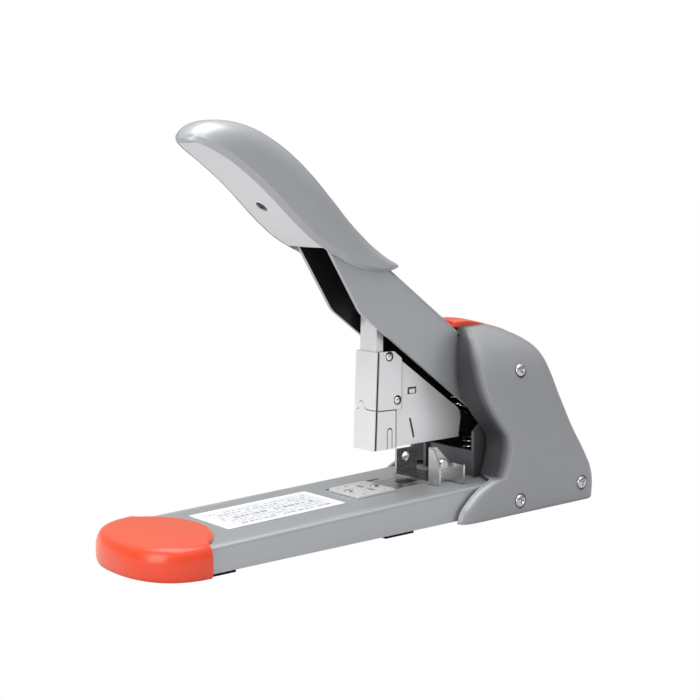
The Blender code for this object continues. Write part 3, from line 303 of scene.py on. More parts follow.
SHEET = finish_material(
    "satin_nickel_sheet",
    (0.86, 0.862, 0.865),
    0.30,
    metal=0.5,
    mottle=0.03,
    mottle_scale=120,
    stretch=(1, 1, 7),
    grain=1500,
    depth=0.04,
    spread=0.05,
)
FRAME_GREY = finish_material(
    "frame_steel", (0.13, 0.133, 0.14), 0.36, metal=0.6, mottle=0.15, mottle_scale=160, depth=0.12, grain=900
)
BRUSHED = finish_material(
    "brushed_nickel",
    (0.66, 0.66, 0.66),
    0.26,
    metal=1.0,
    mottle=0.08,
    mottle_scale=150,
    stretch=(1, 14, 14),
    grain=900,
    depth=0.10,
)
DARK = finish_material(
    "dark_steel", (0.055, 0.057, 0.062), 0.34, metal=0.85, mottle=0.2, mottle_scale=180, depth=0.15, grain=900
)
# Painted shade: a near-black material for groove and hole floors, slits, gaps, inner faces and the rims round
# rivet heads, where shade falls.
SHADE_BLACK = finish_material("painted_shade_black", (0.006, 0.006, 0.007), 0.5, metal=0.1, mottle=0.2, mottle_scale=200)
STEEL = finish_material(
    "bright_steel", (0.62, 0.62, 0.63), 0.2, metal=1.0, mottle_scale=250, depth=0.06
)
RUBBER = finish_material(
    "rubber", (0.012, 0.012, 0.012), 0.75, mottle=0.15, mottle_scale=400, depth=0.3, grain=1200
)
FILM = finish_material("label_film", (0.74, 0.75, 0.765), 0.35, mottle=0.02, mottle_scale=200, depth=0.03)
INK = finish_material("label_ink", (0.34, 0.35, 0.37), 0.5, mottle=0.1, mottle_scale=900)
WHITE_INK = finish_material("label_border", (0.93, 0.94, 0.95), 0.4, mottle=0.01, mottle_scale=300)


# Mesh building


def tidy(mesh):
    """Merges doubled points and turns the faces out."""
    work = bmesh.new()
    work.from_mesh(mesh)
    bmesh.ops.remove_doubles(work, verts=work.verts, dist=1e-6)
    bmesh.ops.recalc_face_normals(work, faces=work.faces)
    work.to_mesh(mesh)
    work.free()
    return mesh


def outline(name, outer, low, high, holes=()):
    """A plate: an outline in x and z with holes, from y = low to y = high."""
    curve = bpy.data.curves.new(name, "CURVE")
    curve.dimensions = "2D"
    curve.fill_mode = "BOTH"
    curve.extrude = (high - low) / 2 * MM
    for loop in (outer, *holes):
        spline = curve.splines.new("POLY")
        spline.points.add(len(loop) - 1)
        for spot, (x, z) in zip(spline.points, loop):
            spot.co = ((x + X_DATUM) * MM, z * MM, 0, 1)
        spline.use_cyclic_u = True
    guide = bpy.data.objects.new(name + "_guide", curve)
    scene.collection.objects.link(guide)
    bpy.context.view_layer.update()
    mesh = bpy.data.meshes.new_from_object(guide.evaluated_get(bpy.context.evaluated_depsgraph_get()))
    bpy.data.objects.remove(guide)
    bpy.data.curves.remove(curve)
    tidy(mesh)
    mesh.transform(Matrix.Rotation(math.radians(90), 4, "X"))
    mesh.transform(Matrix.Translation((0, (low + high) / 2 * MM, 0)))
    return mesh


def loft(name, rings):
    """A closed surface through rings of points; rings are closed loops of equal length."""
    mesh = bpy.data.meshes.new(name)
    work = bmesh.new()
    rows = [[work.verts.new(world(*p)) for p in ring] for ring in rings]
    count = len(rows[0])
    for first, second in zip(rows, rows[1:]):
        for i in range(count):
            j = (i + 1) % count
            work.faces.new((first[i], first[j], second[j], second[i]))
    work.faces.new(rows[0][::-1])
    work.faces.new(rows[-1])
    work.to_mesh(mesh)
    work.free()
    return tidy(mesh)


def prism(name, loop, place):
    """A closed loop of (a, b) pairs swept between two places: place(a, b, end) gives (x, y, z)."""
    return loft(name, [[place(a, b, end) for a, b in loop] for end in (0, 1)])


def rod(name, centre, radius, length, axis="y", sides=32):
    mesh = bpy.data.meshes.new(name)
    work = bmesh.new()
    bmesh.ops.create_cone(
        work, cap_ends=True, segments=sides, radius1=radius * MM, radius2=radius * MM, depth=length * MM
    )
    work.to_mesh(mesh)
    work.free()
    turns = {"x": ("Y", 90), "y": ("X", 90), "z": ("Z", 0)}
    about, angle = turns[axis]
    mesh.transform(Matrix.Translation(world(*centre)) @ Matrix.Rotation(math.radians(angle), 4, about))
    return mesh


def combine(mesh, *tools, operation="DIFFERENCE"):
    """The mesh with each tool cut out of it, or joined to it."""
    base = bpy.data.objects.new("work", mesh)
    scene.collection.objects.link(base)
    helpers = []
    for tool in tools:
        helper = bpy.data.objects.new("tool", tool)
        scene.collection.objects.link(helper)
        helpers.append(helper)
        step = base.modifiers.new("cut", "BOOLEAN")
        step.operation = operation
        step.solver = "EXACT"
        step.object = helper
    bpy.context.view_layer.update()
    made = bpy.data.meshes.new_from_object(base.evaluated_get(bpy.context.evaluated_depsgraph_get()))
    name = mesh.name
    for item in (base, *helpers):
        bpy.data.objects.remove(item)
    bpy.data.meshes.remove(mesh)
    made.name = name
    return made


def piece(name, mesh, look, body, stands_for=(), bevel=0.0, smooth_angle=35, segments=2):
    """Adds a mesh as a visible piece on a body, in place of the CAD nodes it stands for."""
    made = bpy.data.objects.new(name, mesh)
    scene.collection.objects.link(made)
    if not mesh.materials:
        mesh.materials.append(look)
    if bevel:
        step = made.modifiers.new("edges", "BEVEL")
        step.width = bevel * MM
        step.segments = segments
        step.limit_method = "ANGLE"
        step.angle_limit = math.radians(32)
        step.harden_normals = True
    mesh.shade_smooth()
    mesh.set_sharp_from_angle(angle=math.radians(smooth_angle))
    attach(made, body)
    if stands_for:
        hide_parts(*stands_for)
    return made


def stand_up(mesh, foot, direction):
    """Turns a mesh built along z to the direction, and moves it to its foot."""
    turn = Vector(direction).normalized().to_track_quat("Z", "Y").to_matrix().to_4x4()
    mesh.transform(Matrix.Translation(world(*foot)) @ turn)
    return mesh


def lathe(name, profile, foot, direction, sides=40):
    """A turned mesh: (radius, height) pairs from top to foot, about a line through foot."""
    mesh = bpy.data.meshes.new(name)
    work = bmesh.new()
    rows = []
    for r, h in profile:
        if r < 1e-6:
            rows.append([work.verts.new((0, 0, h * MM))])
        else:
            angles = [2 * math.pi * i / sides for i in range(sides)]
            spots = [(r * math.cos(a) * MM, r * math.sin(a) * MM, h * MM) for a in angles]
            rows.append([work.verts.new(spot) for spot in spots])
    for first, second in zip(rows, rows[1:]):
        for i in range(sides):
            j = (i + 1) % sides
            loop = []
            for row, k in ((first, i), (first, j), (second, j), (second, i)):
                corner = row[k % len(row)]
                if corner not in loop:
                    loop.append(corner)
            if len(loop) > 2:
                work.faces.new(loop)
    bmesh.ops.recalc_face_normals(work, faces=work.faces)
    work.to_mesh(mesh)
    work.free()
    return stand_up(mesh, foot, direction)


SHANK_RADIUS = 1.5
RECESS_DEPTH = 1.25


def cross_screw(name, foot, direction, radius, height, tail, twist=20.0):
    """A pan head with a cross recess, on a short shank."""
    profile = [
        (0, height),
        (radius * 0.45, height * 0.97),
        (radius * 0.78, height * 0.78),
        (radius * 0.96, height * 0.42),
        (radius, height * 0.16),
        (radius * 0.99, 0),
        (SHANK_RADIUS, 0),
        (SHANK_RADIUS, -tail),
        (0, -tail),
    ]
    mesh = lathe(name, profile, (-X_DATUM, 0, 0), (0, 0, 1), 36)
    for turn in (twist, twist + 90):
        wide, thin = radius * 0.52, radius * 0.13
        top, low = height + 0.5, height - RECESS_DEPTH
        rings = []
        for level, share in ((low, 0.35), (top, 1.0)):
            flat = rect(-wide * share, wide * share, -thin, thin)
            c, n = math.cos(math.radians(turn)), math.sin(math.radians(turn))
            rings.append([(a * c - b * n - X_DATUM, a * n + b * c, level) for a, b in flat])
        mesh = combine(mesh, loft("recess", rings))
    return stand_up(mesh, foot, direction)


def coil(name, foot, direction, radius, wire, length, turns, steps=28, sides=10):
    """A coil spring as one mesh, with its end turns closed up."""
    mesh = bpy.data.meshes.new(name)
    work = bmesh.new()
    pitch = wire * 1.08
    free = turns - 2.0
    rise = length - wire - 2 * pitch
    total = int(turns * steps)
    centres = []
    for i in range(total + 1):
        t = i / steps
        climb = min(t, 1) * pitch + min(max(t - 1, 0), free) / free * rise + max(t - 1 - free, 0) * pitch
        a = 2 * math.pi * t
        centres.append(Vector((radius * math.cos(a), radius * math.sin(a), climb + wire / 2)))
    rows = []
    for i, here in enumerate(centres):
        along = (centres[min(i + 1, total)] - centres[max(i - 1, 0)]).normalized()
        out = Vector((here.x, here.y, 0)).normalized()
        side = along.cross(out).normalized()
        ring = []
        for k in range(sides):
            b = 2 * math.pi * k / sides
            ring.append(work.verts.new((here + (out * math.cos(b) + side * math.sin(b)) * wire / 2) * MM))
        rows.append(ring)
    for first, second in zip(rows, rows[1:]):
        for k in range(sides):
            m = (k + 1) % sides
            work.faces.new((first[k], first[m], second[m], second[k]))
    work.faces.new(rows[0][::-1])
    work.faces.new(rows[-1])
    bmesh.ops.recalc_face_normals(work, faces=work.faces)
    work.to_mesh(mesh)
    work.free()
    return stand_up(mesh, foot, direction)


# Base: the folded channel, with its fold lines and the slot for the paper stop

BASE_HALF = 32.0
BASE_FRONT, BASE_REAR = -126.0, 118.0
BASE_FOOT = 2.1
BASE_WALL = 2.0
FOLD_RADIUS = 2.2
FOLD_LINE = ((-29.2, 0.0), (-29.0, -0.22), (-28.6, -0.22), (-28.4, 0.0))
BASE_BAYS = 12
STOP_SLOT = rect(15.5, 46.5, -3.8, 3.8)
STOP_SLOT_CORNER = 2.0


def channel_loop(x):
    """The folded section at one x, in order round it, with a fold line pressed into each side."""
    top = deck(x)
    fold = arc((-BASE_HALF + FOLD_RADIUS, top - FOLD_RADIUS), FOLD_RADIUS, 180, 90, 6)
    groove = [(y, top + z) for y, z in FOLD_LINE]
    left = [(-BASE_HALF, BASE_FOOT), (-BASE_HALF, 3.0)] + fold + groove
    outer = left + [(-y, z) for y, z in reversed(left)]
    inside = BASE_HALF - BASE_WALL
    hollow = [(inside, BASE_FOOT), (inside, top - 3.2), (inside - 1.2, top - BASE_WALL)]
    hollow += [(-y, z) for y, z in reversed(hollow)]
    return [(x, y, z) for y, z in outer + hollow]


stations = [BASE_FRONT + (BASE_REAR - BASE_FRONT) * i / BASE_BAYS for i in range(BASE_BAYS + 1)]
base = loft("base", [channel_loop(x) for x in stations])
slot_loop = fillet(STOP_SLOT, STOP_SLOT_CORNER)
base = combine(base, prism("slot", slot_loop, lambda a, b, end: (a, b, 8 + 20 * end)))
piece("base_channel_body", base, SILVER, "stand", ["base_channel"], bevel=0.18)


# Front cap

CAP_REAR, CAP_NOSE = -121.5, -150.3
CAP_HALF = 35.0
TONGUE_TIP, TONGUE_RADIUS = -104.8, 35.4
TONGUE_SPREAD = 58
NOSE_POWER = 2 / 2.35
NOSE_STEPS = 56
CAP_GAP = 0.3


def nose_loop(grow, height):
    """Half a superellipse in plan, grown outwards, at a height that depends on x."""
    half = CAP_HALF + grow
    depth = CAP_REAR - CAP_NOSE + grow
    loop = []
    for i in range(NOSE_STEPS + 1):
        a = math.pi / 2 + math.pi * i / NOSE_STEPS
        c, n = math.cos(a), math.sin(a)
        x = CAP_REAR - depth * abs(c) ** NOSE_POWER
        loop.append((x, half * math.copysign(abs(n) ** NOSE_POWER, n), height(x)))
    return loop


SKIN = 2.4
cap_levels = (
    (-1.6, lambda x: 0.9),
    (-0.9, lambda x: 1.2),
    (-0.4, lambda x: 2.0),
    (-0.1, lambda x: 3.4),
    (0.0, lambda x: 5.0),
    (0.0, lambda x: deck(x) - 5.0),
    (-0.15, lambda x: deck(x) - 3.4),
    (-0.5, lambda x: deck(x) - 1.9),
    (-0.95, lambda x: deck(x) - 0.8),
    (-1.5, lambda x: deck(x) + 0.25),
    (-2.2, lambda x: deck(x) + 1.05),
    (-3.1, lambda x: deck(x) + 1.62),
    (-4.4, lambda x: deck(x) + 2.05),
    (-6.2, lambda x: deck(x) + 2.28),
    (-9.0, lambda x: deck(x) + SKIN),
)
cap = loft("cap", [nose_loop(g, h) for g, h in cap_levels])


def tongue_loop(shrink, lift):
    centre = (TONGUE_TIP - TONGUE_RADIUS, 0)
    spots = arc(centre, TONGUE_RADIUS - shrink, -TONGUE_SPREAD, TONGUE_SPREAD, 40)
    spots = [(CAP_REAR - 6, spots[0][1])] + spots + [(CAP_REAR - 6, spots[-1][1])]
    return [(x, y, deck(x) + lift) for x, y in spots]


tongue_levels = ((0.0, -1.0), (0.0, 0.7), (0.15, 1.25), (0.5, 1.75), (1.1, 2.1), (2.0, 2.28), (3.2, 2.33))
cap = combine(cap, loft("tongue", [tongue_loop(s, h) for s, h in tongue_levels]), operation="UNION")
room = []
for x in (BASE_FRONT - CAP_GAP, BASE_REAR):
    top = deck(x) + CAP_GAP
    room.append([(x, -32.3, -5), (x, -32.3, top - 2), (x, -31.7, top - 0.6), (x, -30.3, top)])
    room[-1] += [(x, -y, z) for _, y, z in reversed(room[-1])]
cap = combine(cap, loft("room", room))
piece(
    "front_cap_shell",
    cap,
    ORANGE,
    "stand",
    ["front_cap"],
    bevel=0.35,
    segments=3,
    smooth_angle=50,
)


# Label: a plain film with a border and rows of plain bars


def on_deck(name, loop, low, high):
    return prism(name, loop, lambda a, b, end: (a, b, deck(a) + low + (high - low) * end))


LABEL_X = (-98.9, -30.3)
LABEL_Y = (2.0 - 16.25, 2.0 + 16.25)
PRINT_LOW = 0.345
LABEL_ROWS = ((-9.5, 1.5), (-6.0, 0.7), (-3.0, 0.7), (0.5, 2.4), (4.5, 0.7), (8.0, 1.2), (11.5, 0.7))
BAR_WIDTHS = (2.6, 1.4, 3.4, 1.0, 2.0)
BAR_GAPS = (1.0, 1.6, 0.8)


def label_rect(in_x, in_y):
    return rect(LABEL_X[0] + in_x, LABEL_X[1] - in_x, LABEL_Y[0] + in_y, LABEL_Y[1] - in_y)


film_loop = fillet(label_rect(0, 0), 1.6)
piece("label_film", on_deck("film", film_loop, 0.10, 0.36), FILM, "stand", ["capacity_label"])
ink = bpy.data.meshes.new("label_print")
work = bmesh.new()


def print_bar(x0, x1, y0, y1):
    corners = rect(x0, x1, y0, y1)
    low = [work.verts.new(world(x, y, deck(x) + PRINT_LOW)) for x, y in corners]
    high = [work.verts.new(world(x, y, deck(x) + 0.39)) for x, y in corners]
    work.faces.new(low[::-1])
    work.faces.new(high)
    for i in range(4):
        j = (i + 1) % 4
        work.faces.new((low[i], low[j], high[j], high[i]))


for row, (y, tall) in enumerate(LABEL_ROWS):
    x = LABEL_X[0] + 7.0 + 1.3 * (row % 3)
    step = 0
    while x < LABEL_X[1] - 8:
        wide = BAR_WIDTHS[(step * 2 + row) % 5]
        if (step + row * 2) % 7:
            print_bar(x, x + wide, y - tall / 2, y + tall / 2)
        x += wide + BAR_GAPS[(step + row) % 3]
        step += 1
work.to_mesh(ink)
work.free()
piece("label_print", ink, INK, "stand", smooth_angle=20)
edge_outer = fillet(label_rect(0.9, 0.9), 1.2)
edge_inner = fillet(label_rect(3.0, 2.6), 0.8)
border = combine(on_deck("border", edge_outer, PRINT_LOW, 0.40), on_deck("border_in", edge_inner, 0.2, 0.6))
piece("label_border", border, WHITE_INK, "stand", smooth_angle=20)


# Anvil: a plated insert with two clinching grooves and pressed holes

ANVIL = rect(-21.3, 3.1, -12, 12)
ANVIL_TOP = 1.2
PRESSED_HOLES = ((-17.5, 7.5, 2.2, 1.3), (-13.6, -8.4, 2.8, 1.5), (-12.2, 3.4, 1.4, 1.4))
PRESSED_HOLES += ((-10.8, 9.0, 3.2, 1.4), (-1.2, -8.2, 1.5, 2.4), (-1.4, 8.6, 2.0, 1.6))
PRESSED_HOLES += ((-18.0, -4.6, 1.5, 2.2), (-10.2, -4.6, 1.3, 1.3))
anvil_loop = fillet(ANVIL, [1.0, 1.0, 3.5, 3.5], 6)
anvil = on_deck("anvil", anvil_loop, 0.2, ANVIL_TOP)
for sign in (-1, 1):
    groove = fillet(rect(-7.2, -4.8, sign * 1.2, sign * 7.0), 1.0)
    anvil = combine(anvil, on_deck("groove", groove[:: sign], 0.62, 3.0))
for x, y, long, wide in PRESSED_HOLES:
    loop = fillet(rect(x - long / 2, x + long / 2, y - wide / 2, y + wide / 2), 0.3)
    anvil = combine(anvil, on_deck("hole", loop, 0.35, 3.0))
anvil.materials.append(SHEET)
anvil.materials.append(SHADE_BLACK)
# Painted shade: the floors of the clinching grooves and pressed holes take the black material, for the shade
# inside them.
for polygon in anvil.polygons:
    x = polygon.center.x / MM - X_DATUM
    height = polygon.center.z / MM - deck(x)
    if polygon.normal.z > 0.9 and height < ANVIL_TOP - 0.1:
        polygon.material_index = 1
piece("anvil_insert", anvil, NICKEL, "stand", ["anvil_plate"], bevel=0.12)
strip_loop = fillet(rect(3.6, 47.5, -9.5, 9.5), 1.0)
strip = combine(
    on_deck("guide_strip", strip_loop, 0.0, 0.15),
    on_deck("guide_slot", slot_loop, -1, 1),
)
piece("guide_strip", strip, BRUSHED, "stand")
# Painted shade: a thin black strip on the deck beyond the anvil's far edge, for the shade there.
deck_shade_loop = fillet(rect(-20.5, 14.0, 12.6, 14.4), 0.6)
piece("deck_shade_strip", on_deck("deck_shade_strip", deck_shade_loop, 0.0, 0.06), SHADE_BLACK, "stand")


# Lever arm: a folded channel, open underneath, with a lug for the driver pin

ARM_HALF, ARM_TOP = 11.8, 14.0
ARM_WALL, ARM_FOLD = 2.0, 3.0
PIVOT_BORE = 4.3
DRIVER_PIN = (12.0, 101.1)
LUG_RADIUS, LUG_HALF, PIN_BORE = 4.2, 2.0, 2.8
arm_side = [(0, -ARM_TOP), (113.8, -ARM_TOP), (116.6, -13.4), (150.5, 0.0), (153, 3.4), (175, 3.4)]
arm_side += [(175, ARM_TOP), (0, ARM_TOP)]
arm_side += [(-10 * math.sin(math.pi * i / 16), ARM_TOP * math.cos(math.pi * i / 16)) for i in range(1, 16)]


def arm_section(half, top, low, r):
    """A section across the arm, with its two top corners rounded."""
    corner = arc((half - r, top - r), r, 0, 90, 8)
    left = [(-y, t) for y, t in reversed(corner)]
    return [(half, low)] + corner + left + [(-half, low)]


def arm_sweep(name, half, top, low, r, s0, s1):
    rings = []
    for s in (s0, s1):
        ring = []
        for y, t in arm_section(half, top, low, r):
            x, z = on_arm(s, t)
            ring.append((x, y, z))
        rings.append(ring)
    return loft(name, rings)


arm = outline("arm", [on_arm(s, t) for s, t in arm_side], -14, 14)
arm = combine(
    arm,
    arm_sweep("arm_skin", ARM_HALF, ARM_TOP, -30, ARM_FOLD, -30, 190),
    operation="INTERSECT",
)
arm = combine(arm, arm_sweep("arm_hollow", ARM_HALF - ARM_WALL, ARM_TOP - ARM_WALL, -40, 1.2, -40, 200))
arm = combine(arm, rod("bore", (HANDLE_AXIS[0], 0, HANDLE_AXIS[1]), PIVOT_BORE, 60))
ahead, above = HANDLE_AXIS[0] - DRIVER_PIN[0], DRIVER_PIN[1] - HANDLE_AXIS[1]
pin_s = ahead * math.cos(ARM_ANGLE) + above * math.sin(ARM_ANGLE)
lug = [(pin_s + LUG_RADIUS, 13.0), (pin_s - LUG_RADIUS, 13.0)]
lug += arc((pin_s, 0.0), LUG_RADIUS, 180, 360, 24)
arm = combine(
    arm, outline("lug", [on_arm(s, t) for s, t in lug], -LUG_HALF, LUG_HALF), operation="UNION"
)
arm = combine(arm, rod("pin_bore", (DRIVER_PIN[0], 0, DRIVER_PIN[1]), PIN_BORE, 7))
arm.materials.append(SILVER)
arm.materials.append(SHADE_BLACK)
# Painted shade: the channel's inner wall faces and the underside of its top take the black material, for the
# shade inside the arm.
for polygon in arm.polygons:
    y = abs(polygon.center.y / MM)
    x, z = polygon.center.x / MM - X_DATUM, polygon.center.z / MM
    t = (x - HANDLE_AXIS[0]) * math.sin(ARM_ANGLE) + (z - HANDLE_AXIS[1]) * math.cos(ARM_ANGLE)
    shaded_inner_wall = polygon.normal.y * polygon.center.y < 0 and abs(polygon.normal.y) > 0.5 and y > 9
    if shaded_inner_wall or (y < 9.9 and 10.5 < t < 12.3):
        polygon.material_index = 1
piece("lever_arm_channel", arm, SILVER, "handle", ["lever_arm"], bevel=0.3)


# Grip: a crowned shell with a narrow rim, and its underside plate

GRIP_TIP = 238.7
GRIP_RIM, GRIP_CHAMFER = 2.4, 2.2
GRIP_SIDE_POWER, GRIP_CROWN_POWER = 0.62, 0.76
PLATE_INSET = 2.8
PLATE_STATIONS = (164, 172, 180, 190, 200, 210, 217, 223.5, 228.4, 231.6)
GRIP_SCREW_AT = 185.0
GRIP_TOP = ((109.4, 18.6), (117, 17.9), (126, 17.9), (132, 18.4), (141, 19.1), (147, 19.8), (157, 21.5))
GRIP_TOP += ((162, 22.3), (171, 23.7), (176, 24.3), (184, 24.9), (189, 25.0), (196, 24.8), (201, 24.3))
GRIP_TOP += ((206, 23.5), (211, 22.5), (219, 19.8), (226, 16.2), (231, 12.7), (234.5, 9.2), (236.6, 6.2))
GRIP_TOP += ((238.0, 3.2), (GRIP_TIP, 0.6))
GRIP_UNDER = ((109.4, 14.6), (112.8, 11.3), (117.9, 7.6), (126.5, 3.4), (136.3, 0.4), (145, -1.0))
GRIP_UNDER += ((152, -2.2), (157, -2.9), (163, -3.3), (172, -3.0), (180, -2.3), (190, -1.2))
GRIP_UNDER += ((199, -0.4), (209, -0.1))
GRIP_UNDER += ((219, -0.3), (226, -1.0), (231, -1.6), (235, -2.3), (GRIP_TIP, -3.2))
GRIP_HALF = ((109.4, 13.8), (117, 14.6), (136, 15.2), (150, 16.2), (163, 17.0), (176, 17.2), (190, 16.8))
GRIP_HALF += ((203, 16.3), (213, 15.9), (220, 15.3), (226, 14.2), (230, 12.9), (233, 11.3), (236, 8.6))
GRIP_HALF += ((237.8, 5.6), (GRIP_TIP, 2.4))


def grip_loop(s, shrink=0.0):
    """The grip's section at s along the arm, drawn in by shrink at its rear edge."""
    half = smooth(GRIP_HALF, s) - shrink
    low = smooth(GRIP_UNDER, s) + shrink * 0.6
    top = max(smooth(GRIP_TOP, s) - shrink, low + 2.0)
    rim = min(GRIP_RIM, (top - low) * 0.35)
    flat = half - min(GRIP_CHAMFER, half * 0.4)
    ring = [(flat - 0.5, low), (flat, low + 0.08)]
    for i in range(29):
        a = math.pi * i / 28
        across = math.copysign(abs(math.cos(a)) ** GRIP_SIDE_POWER, math.cos(a))
        up = abs(math.sin(a)) ** GRIP_CROWN_POWER
        ring.append((half * across, low + rim + (top - low - rim) * up))
    ring += [(-flat, low + 0.08), (-flat + 0.5, low)]
    made = []
    for y, t in ring:
        x, z = on_arm(s, t)
        made.append((x, y, z))
    return made


grip_s = [109.45, 109.6, 110.0] + [111.0 + 3.0 * i for i in range(41)]
grip_s += [233.0, 234.6, 236.0, 237.0, 237.8, 238.4, GRIP_TIP]
shrinks = {109.45: 0.8, 109.6: 0.35, 110.0: 0.08}
grip = loft("grip", [grip_loop(s, shrinks.get(s, 0.0)) for s in grip_s])
room_side = [on_arm(s, t) for s, t in rect(80, 175.3, -30, 14.3)]
grip = combine(grip, outline("arm_room", room_side, -12.1, 12.1))


def plate_rings(stations, gap, low, high, crown=0.0):
    """Sections of the underside plate, or of its recess, above the grip's under edge."""
    rings = []
    for s in stations:
        half = between(s, GRIP_HALF) - PLATE_INSET - gap
        under = smooth(GRIP_UNDER, s)
        low_edge = [(half * (1 - i / 5), low - crown * (1 - (1 - i / 5) ** 2)) for i in range(11)]
        ring = []
        for y, t in low_edge + [(-half, high), (half, high)]:
            x, z = on_arm(s, under + t)
            ring.append((x, y, z))
        rings.append(ring)
    return rings


recess_s = (149.5, 156, *PLATE_STATIONS, 234.2)
grip = combine(grip, loft("recess", plate_rings(recess_s, 0, -4, 2.7)))
piece("grip_cover", grip, GRIP, "handle", ["grip_shell"], smooth_angle=28, bevel=0.15)
plate_s = (153.5, 157, *PLATE_STATIONS, 233.9)
plate = loft("plate", plate_rings(plate_s, 0.12, 0.15, 2.4, 0.25))
arm_up = Vector((math.sin(ARM_ANGLE), 0, math.cos(ARM_ANGLE)))
hole_foot = on_arm(GRIP_SCREW_AT, -6)
hole = lathe("hole", [(0, 14), (3.0, 14), (3.0, -3), (0, -3)], (hole_foot[0], 0, hole_foot[1]), arm_up)
plate = combine(plate, hole)
piece("grip_underside", plate, PALE, "handle", ["grip_plate"], bevel=0.25, segments=3)
arm_down = (-math.sin(ARM_ANGLE), 0, -math.cos(ARM_ANGLE))
screw_foot = on_arm(GRIP_SCREW_AT, -1.2)
grip_screw = cross_screw("grip_screw_head", (screw_foot[0], 0, screw_foot[1]), arm_down, 2.6, 0.9, 8.0)
piece("grip_screw_head", grip_screw, DARK, "handle", ["grip_screw"])


# Cover shells and spine

COVER_HALF = 38.0
REAR = ((0.5, 125.4), (8, 126.0), (17.5, 124.2), (23, 121.2), (28.6, 117.8), (36, 113.2), (43, 109.6))
REAR += ((56, 105.4), (70, 102.8), (78, 101.2), (82, 99.4), (85, 96.6), (88.2, 90.8), (92, 80.5))
REAR += ((95.3, 67.5), (97.6, 61.8), (98.9, 54.0))
NARROWER = ((0.5, 0.0), (30, 0.0), (46, 1.0), (60, 3.8), (75, 7.8), (85, 12.5), (92, 18.2), (95, 21.6))
NARROWER += ((98.6, 25.4),)
MOUTH_X = ((20.6, 52.6), (24, 54.4), (28, 55.6), (36, 57.0), (41, 56.1), (46, 52.8), (52, 48.9))
MOUTH_X += ((58, 45.9), (66, 43.5), (75, 42.2), (85, 42.5), (93, 44.9), (98.6, 48.5))
MOUTH_HALF = ((20.6, 20.8), (41, 20.6), (46, 19.6), (52, 17.4), (58, 15.8), (66, 14.8), (75, 14.4))
MOUTH_HALF += ((93, 14.0), (98.6, 12.0))
CREST_X = ((20, 47.6), (23, 50.4), (27, 53.0), (33, 55.0), (41, 54.0), (49, 50.0), (57, 46.0))
CREST_X += ((68, 43.6), (80, 43.4), (98.6, 49.0))
WEDGE_X = ((0.5, 24.5), (6.6, 26.5), (11, 31.0), (15.5, 36.8), (19.2, 44.0), (20.2, 47.0))
CORNER = ((0.5, 10.0), (20, 10.0), (45, 12.5), (60, 15.0), (75, 19.0), (88, 24.0), (98.6, 12.0))
WEDGE_TOP = 20.3
SEAM = 0.15


def cover_row(level, inset=0.0):
    """One level of a cover shell, from its front edge round to the rear, on the +y side."""
    half = COVER_HALF - smooth(NARROWER, level) - inset
    rear = smooth(REAR, level) - inset
    if level < WEDGE_TOP:
        front_x = smooth(WEDGE_X, level) + inset
        front_y = BASE_HALF + 1.3
        crest_x = front_x + 2.8
        bulge = (0.18, 0.45, 0.70, 0.88, 0.97)
        reach = (0.10, 0.35, 0.75, 1.5, 2.6)
    else:
        front_x = smooth(MOUTH_X, level) + inset
        crest_x = max(smooth(CREST_X, level) + inset, front_x + 0.8)
        front_y = min(smooth(MOUTH_HALF, level), half + inset - 1.6)
        bulge = (0.16, 0.38, 0.62, 0.84, 0.965)
        reach = (0.02, 0.16, 0.42, 0.86, 1.6)
    rise = max(half - front_y, 0.5)
    span = crest_x - front_x
    lip = [(front_x, front_y)]
    for share, along in zip(bulge, reach):
        lip.append((front_x + span * min(along, 1) + max(along - 1, 0) * 3.4, front_y + rise * share))
    side_start = lip[-1][0] + 4.0
    radius = min(smooth(CORNER, level) - inset, (rear - side_start) * 0.7, half - 1.0)
    corner_x = rear - radius
    side = [(side_start + (corner_x - side_start) * i / 6, half) for i in range(7)]
    bend = arc((corner_x, half - radius), radius, 90, 8, 12)[1:]
    last_x, last_y = bend[-1]
    tail = [(last_x + (rear - last_x) * 0.75, last_y * 0.5)]
    return lip + side + bend + tail, front_x, rear


levels = [0.9, 1.6, 3.0] + [4.5 + 1.6 * i for i in range(9)] + [18.6, 19.6, 20.2, 20.9, 21.8, 23.0]
levels += [24.5 + 1.9 * i for i in range(35)] + [91.0, 92.3, 93.4, 94.3, 95.0, 95.4]
SPINE_HALF = ((43.0, 10.6), (60, 9.6), (80, 7.6), (92, 5.0), (98, 2.4))
SPINE_REAR = 98.0
SPINE_FLOOR = ((44.0, -3.6), (50.0, -4.8))
COVER_WALL = 2.4
LIP_SHADE = 0.9
RIDGE = ((44, 98.9), (54, 98.8), (61.8, 97.4), (73.5, 94.6), (85, 91.2), (94, 87.0), (98.2, 84.2))


def spine_loop(x, grow, low, high, shrink=0.0):
    """The spine's section at x, or with a deeper low that of the room cut for it."""
    half = smooth(SPINE_HALF, x) + grow - shrink
    top = smooth(RIDGE, x)
    crown = half * 0.10
    bow = [(half * (1 - i / 6), top + high - crown * (1 - i / 6) ** 2) for i in range(13)]
    low = max(low, between(x, SPINE_FLOOR)) if low > -10 else low
    return [(x, -half, top + low), (x, half, top + low)] + [(x, y, z) for y, z in bow]


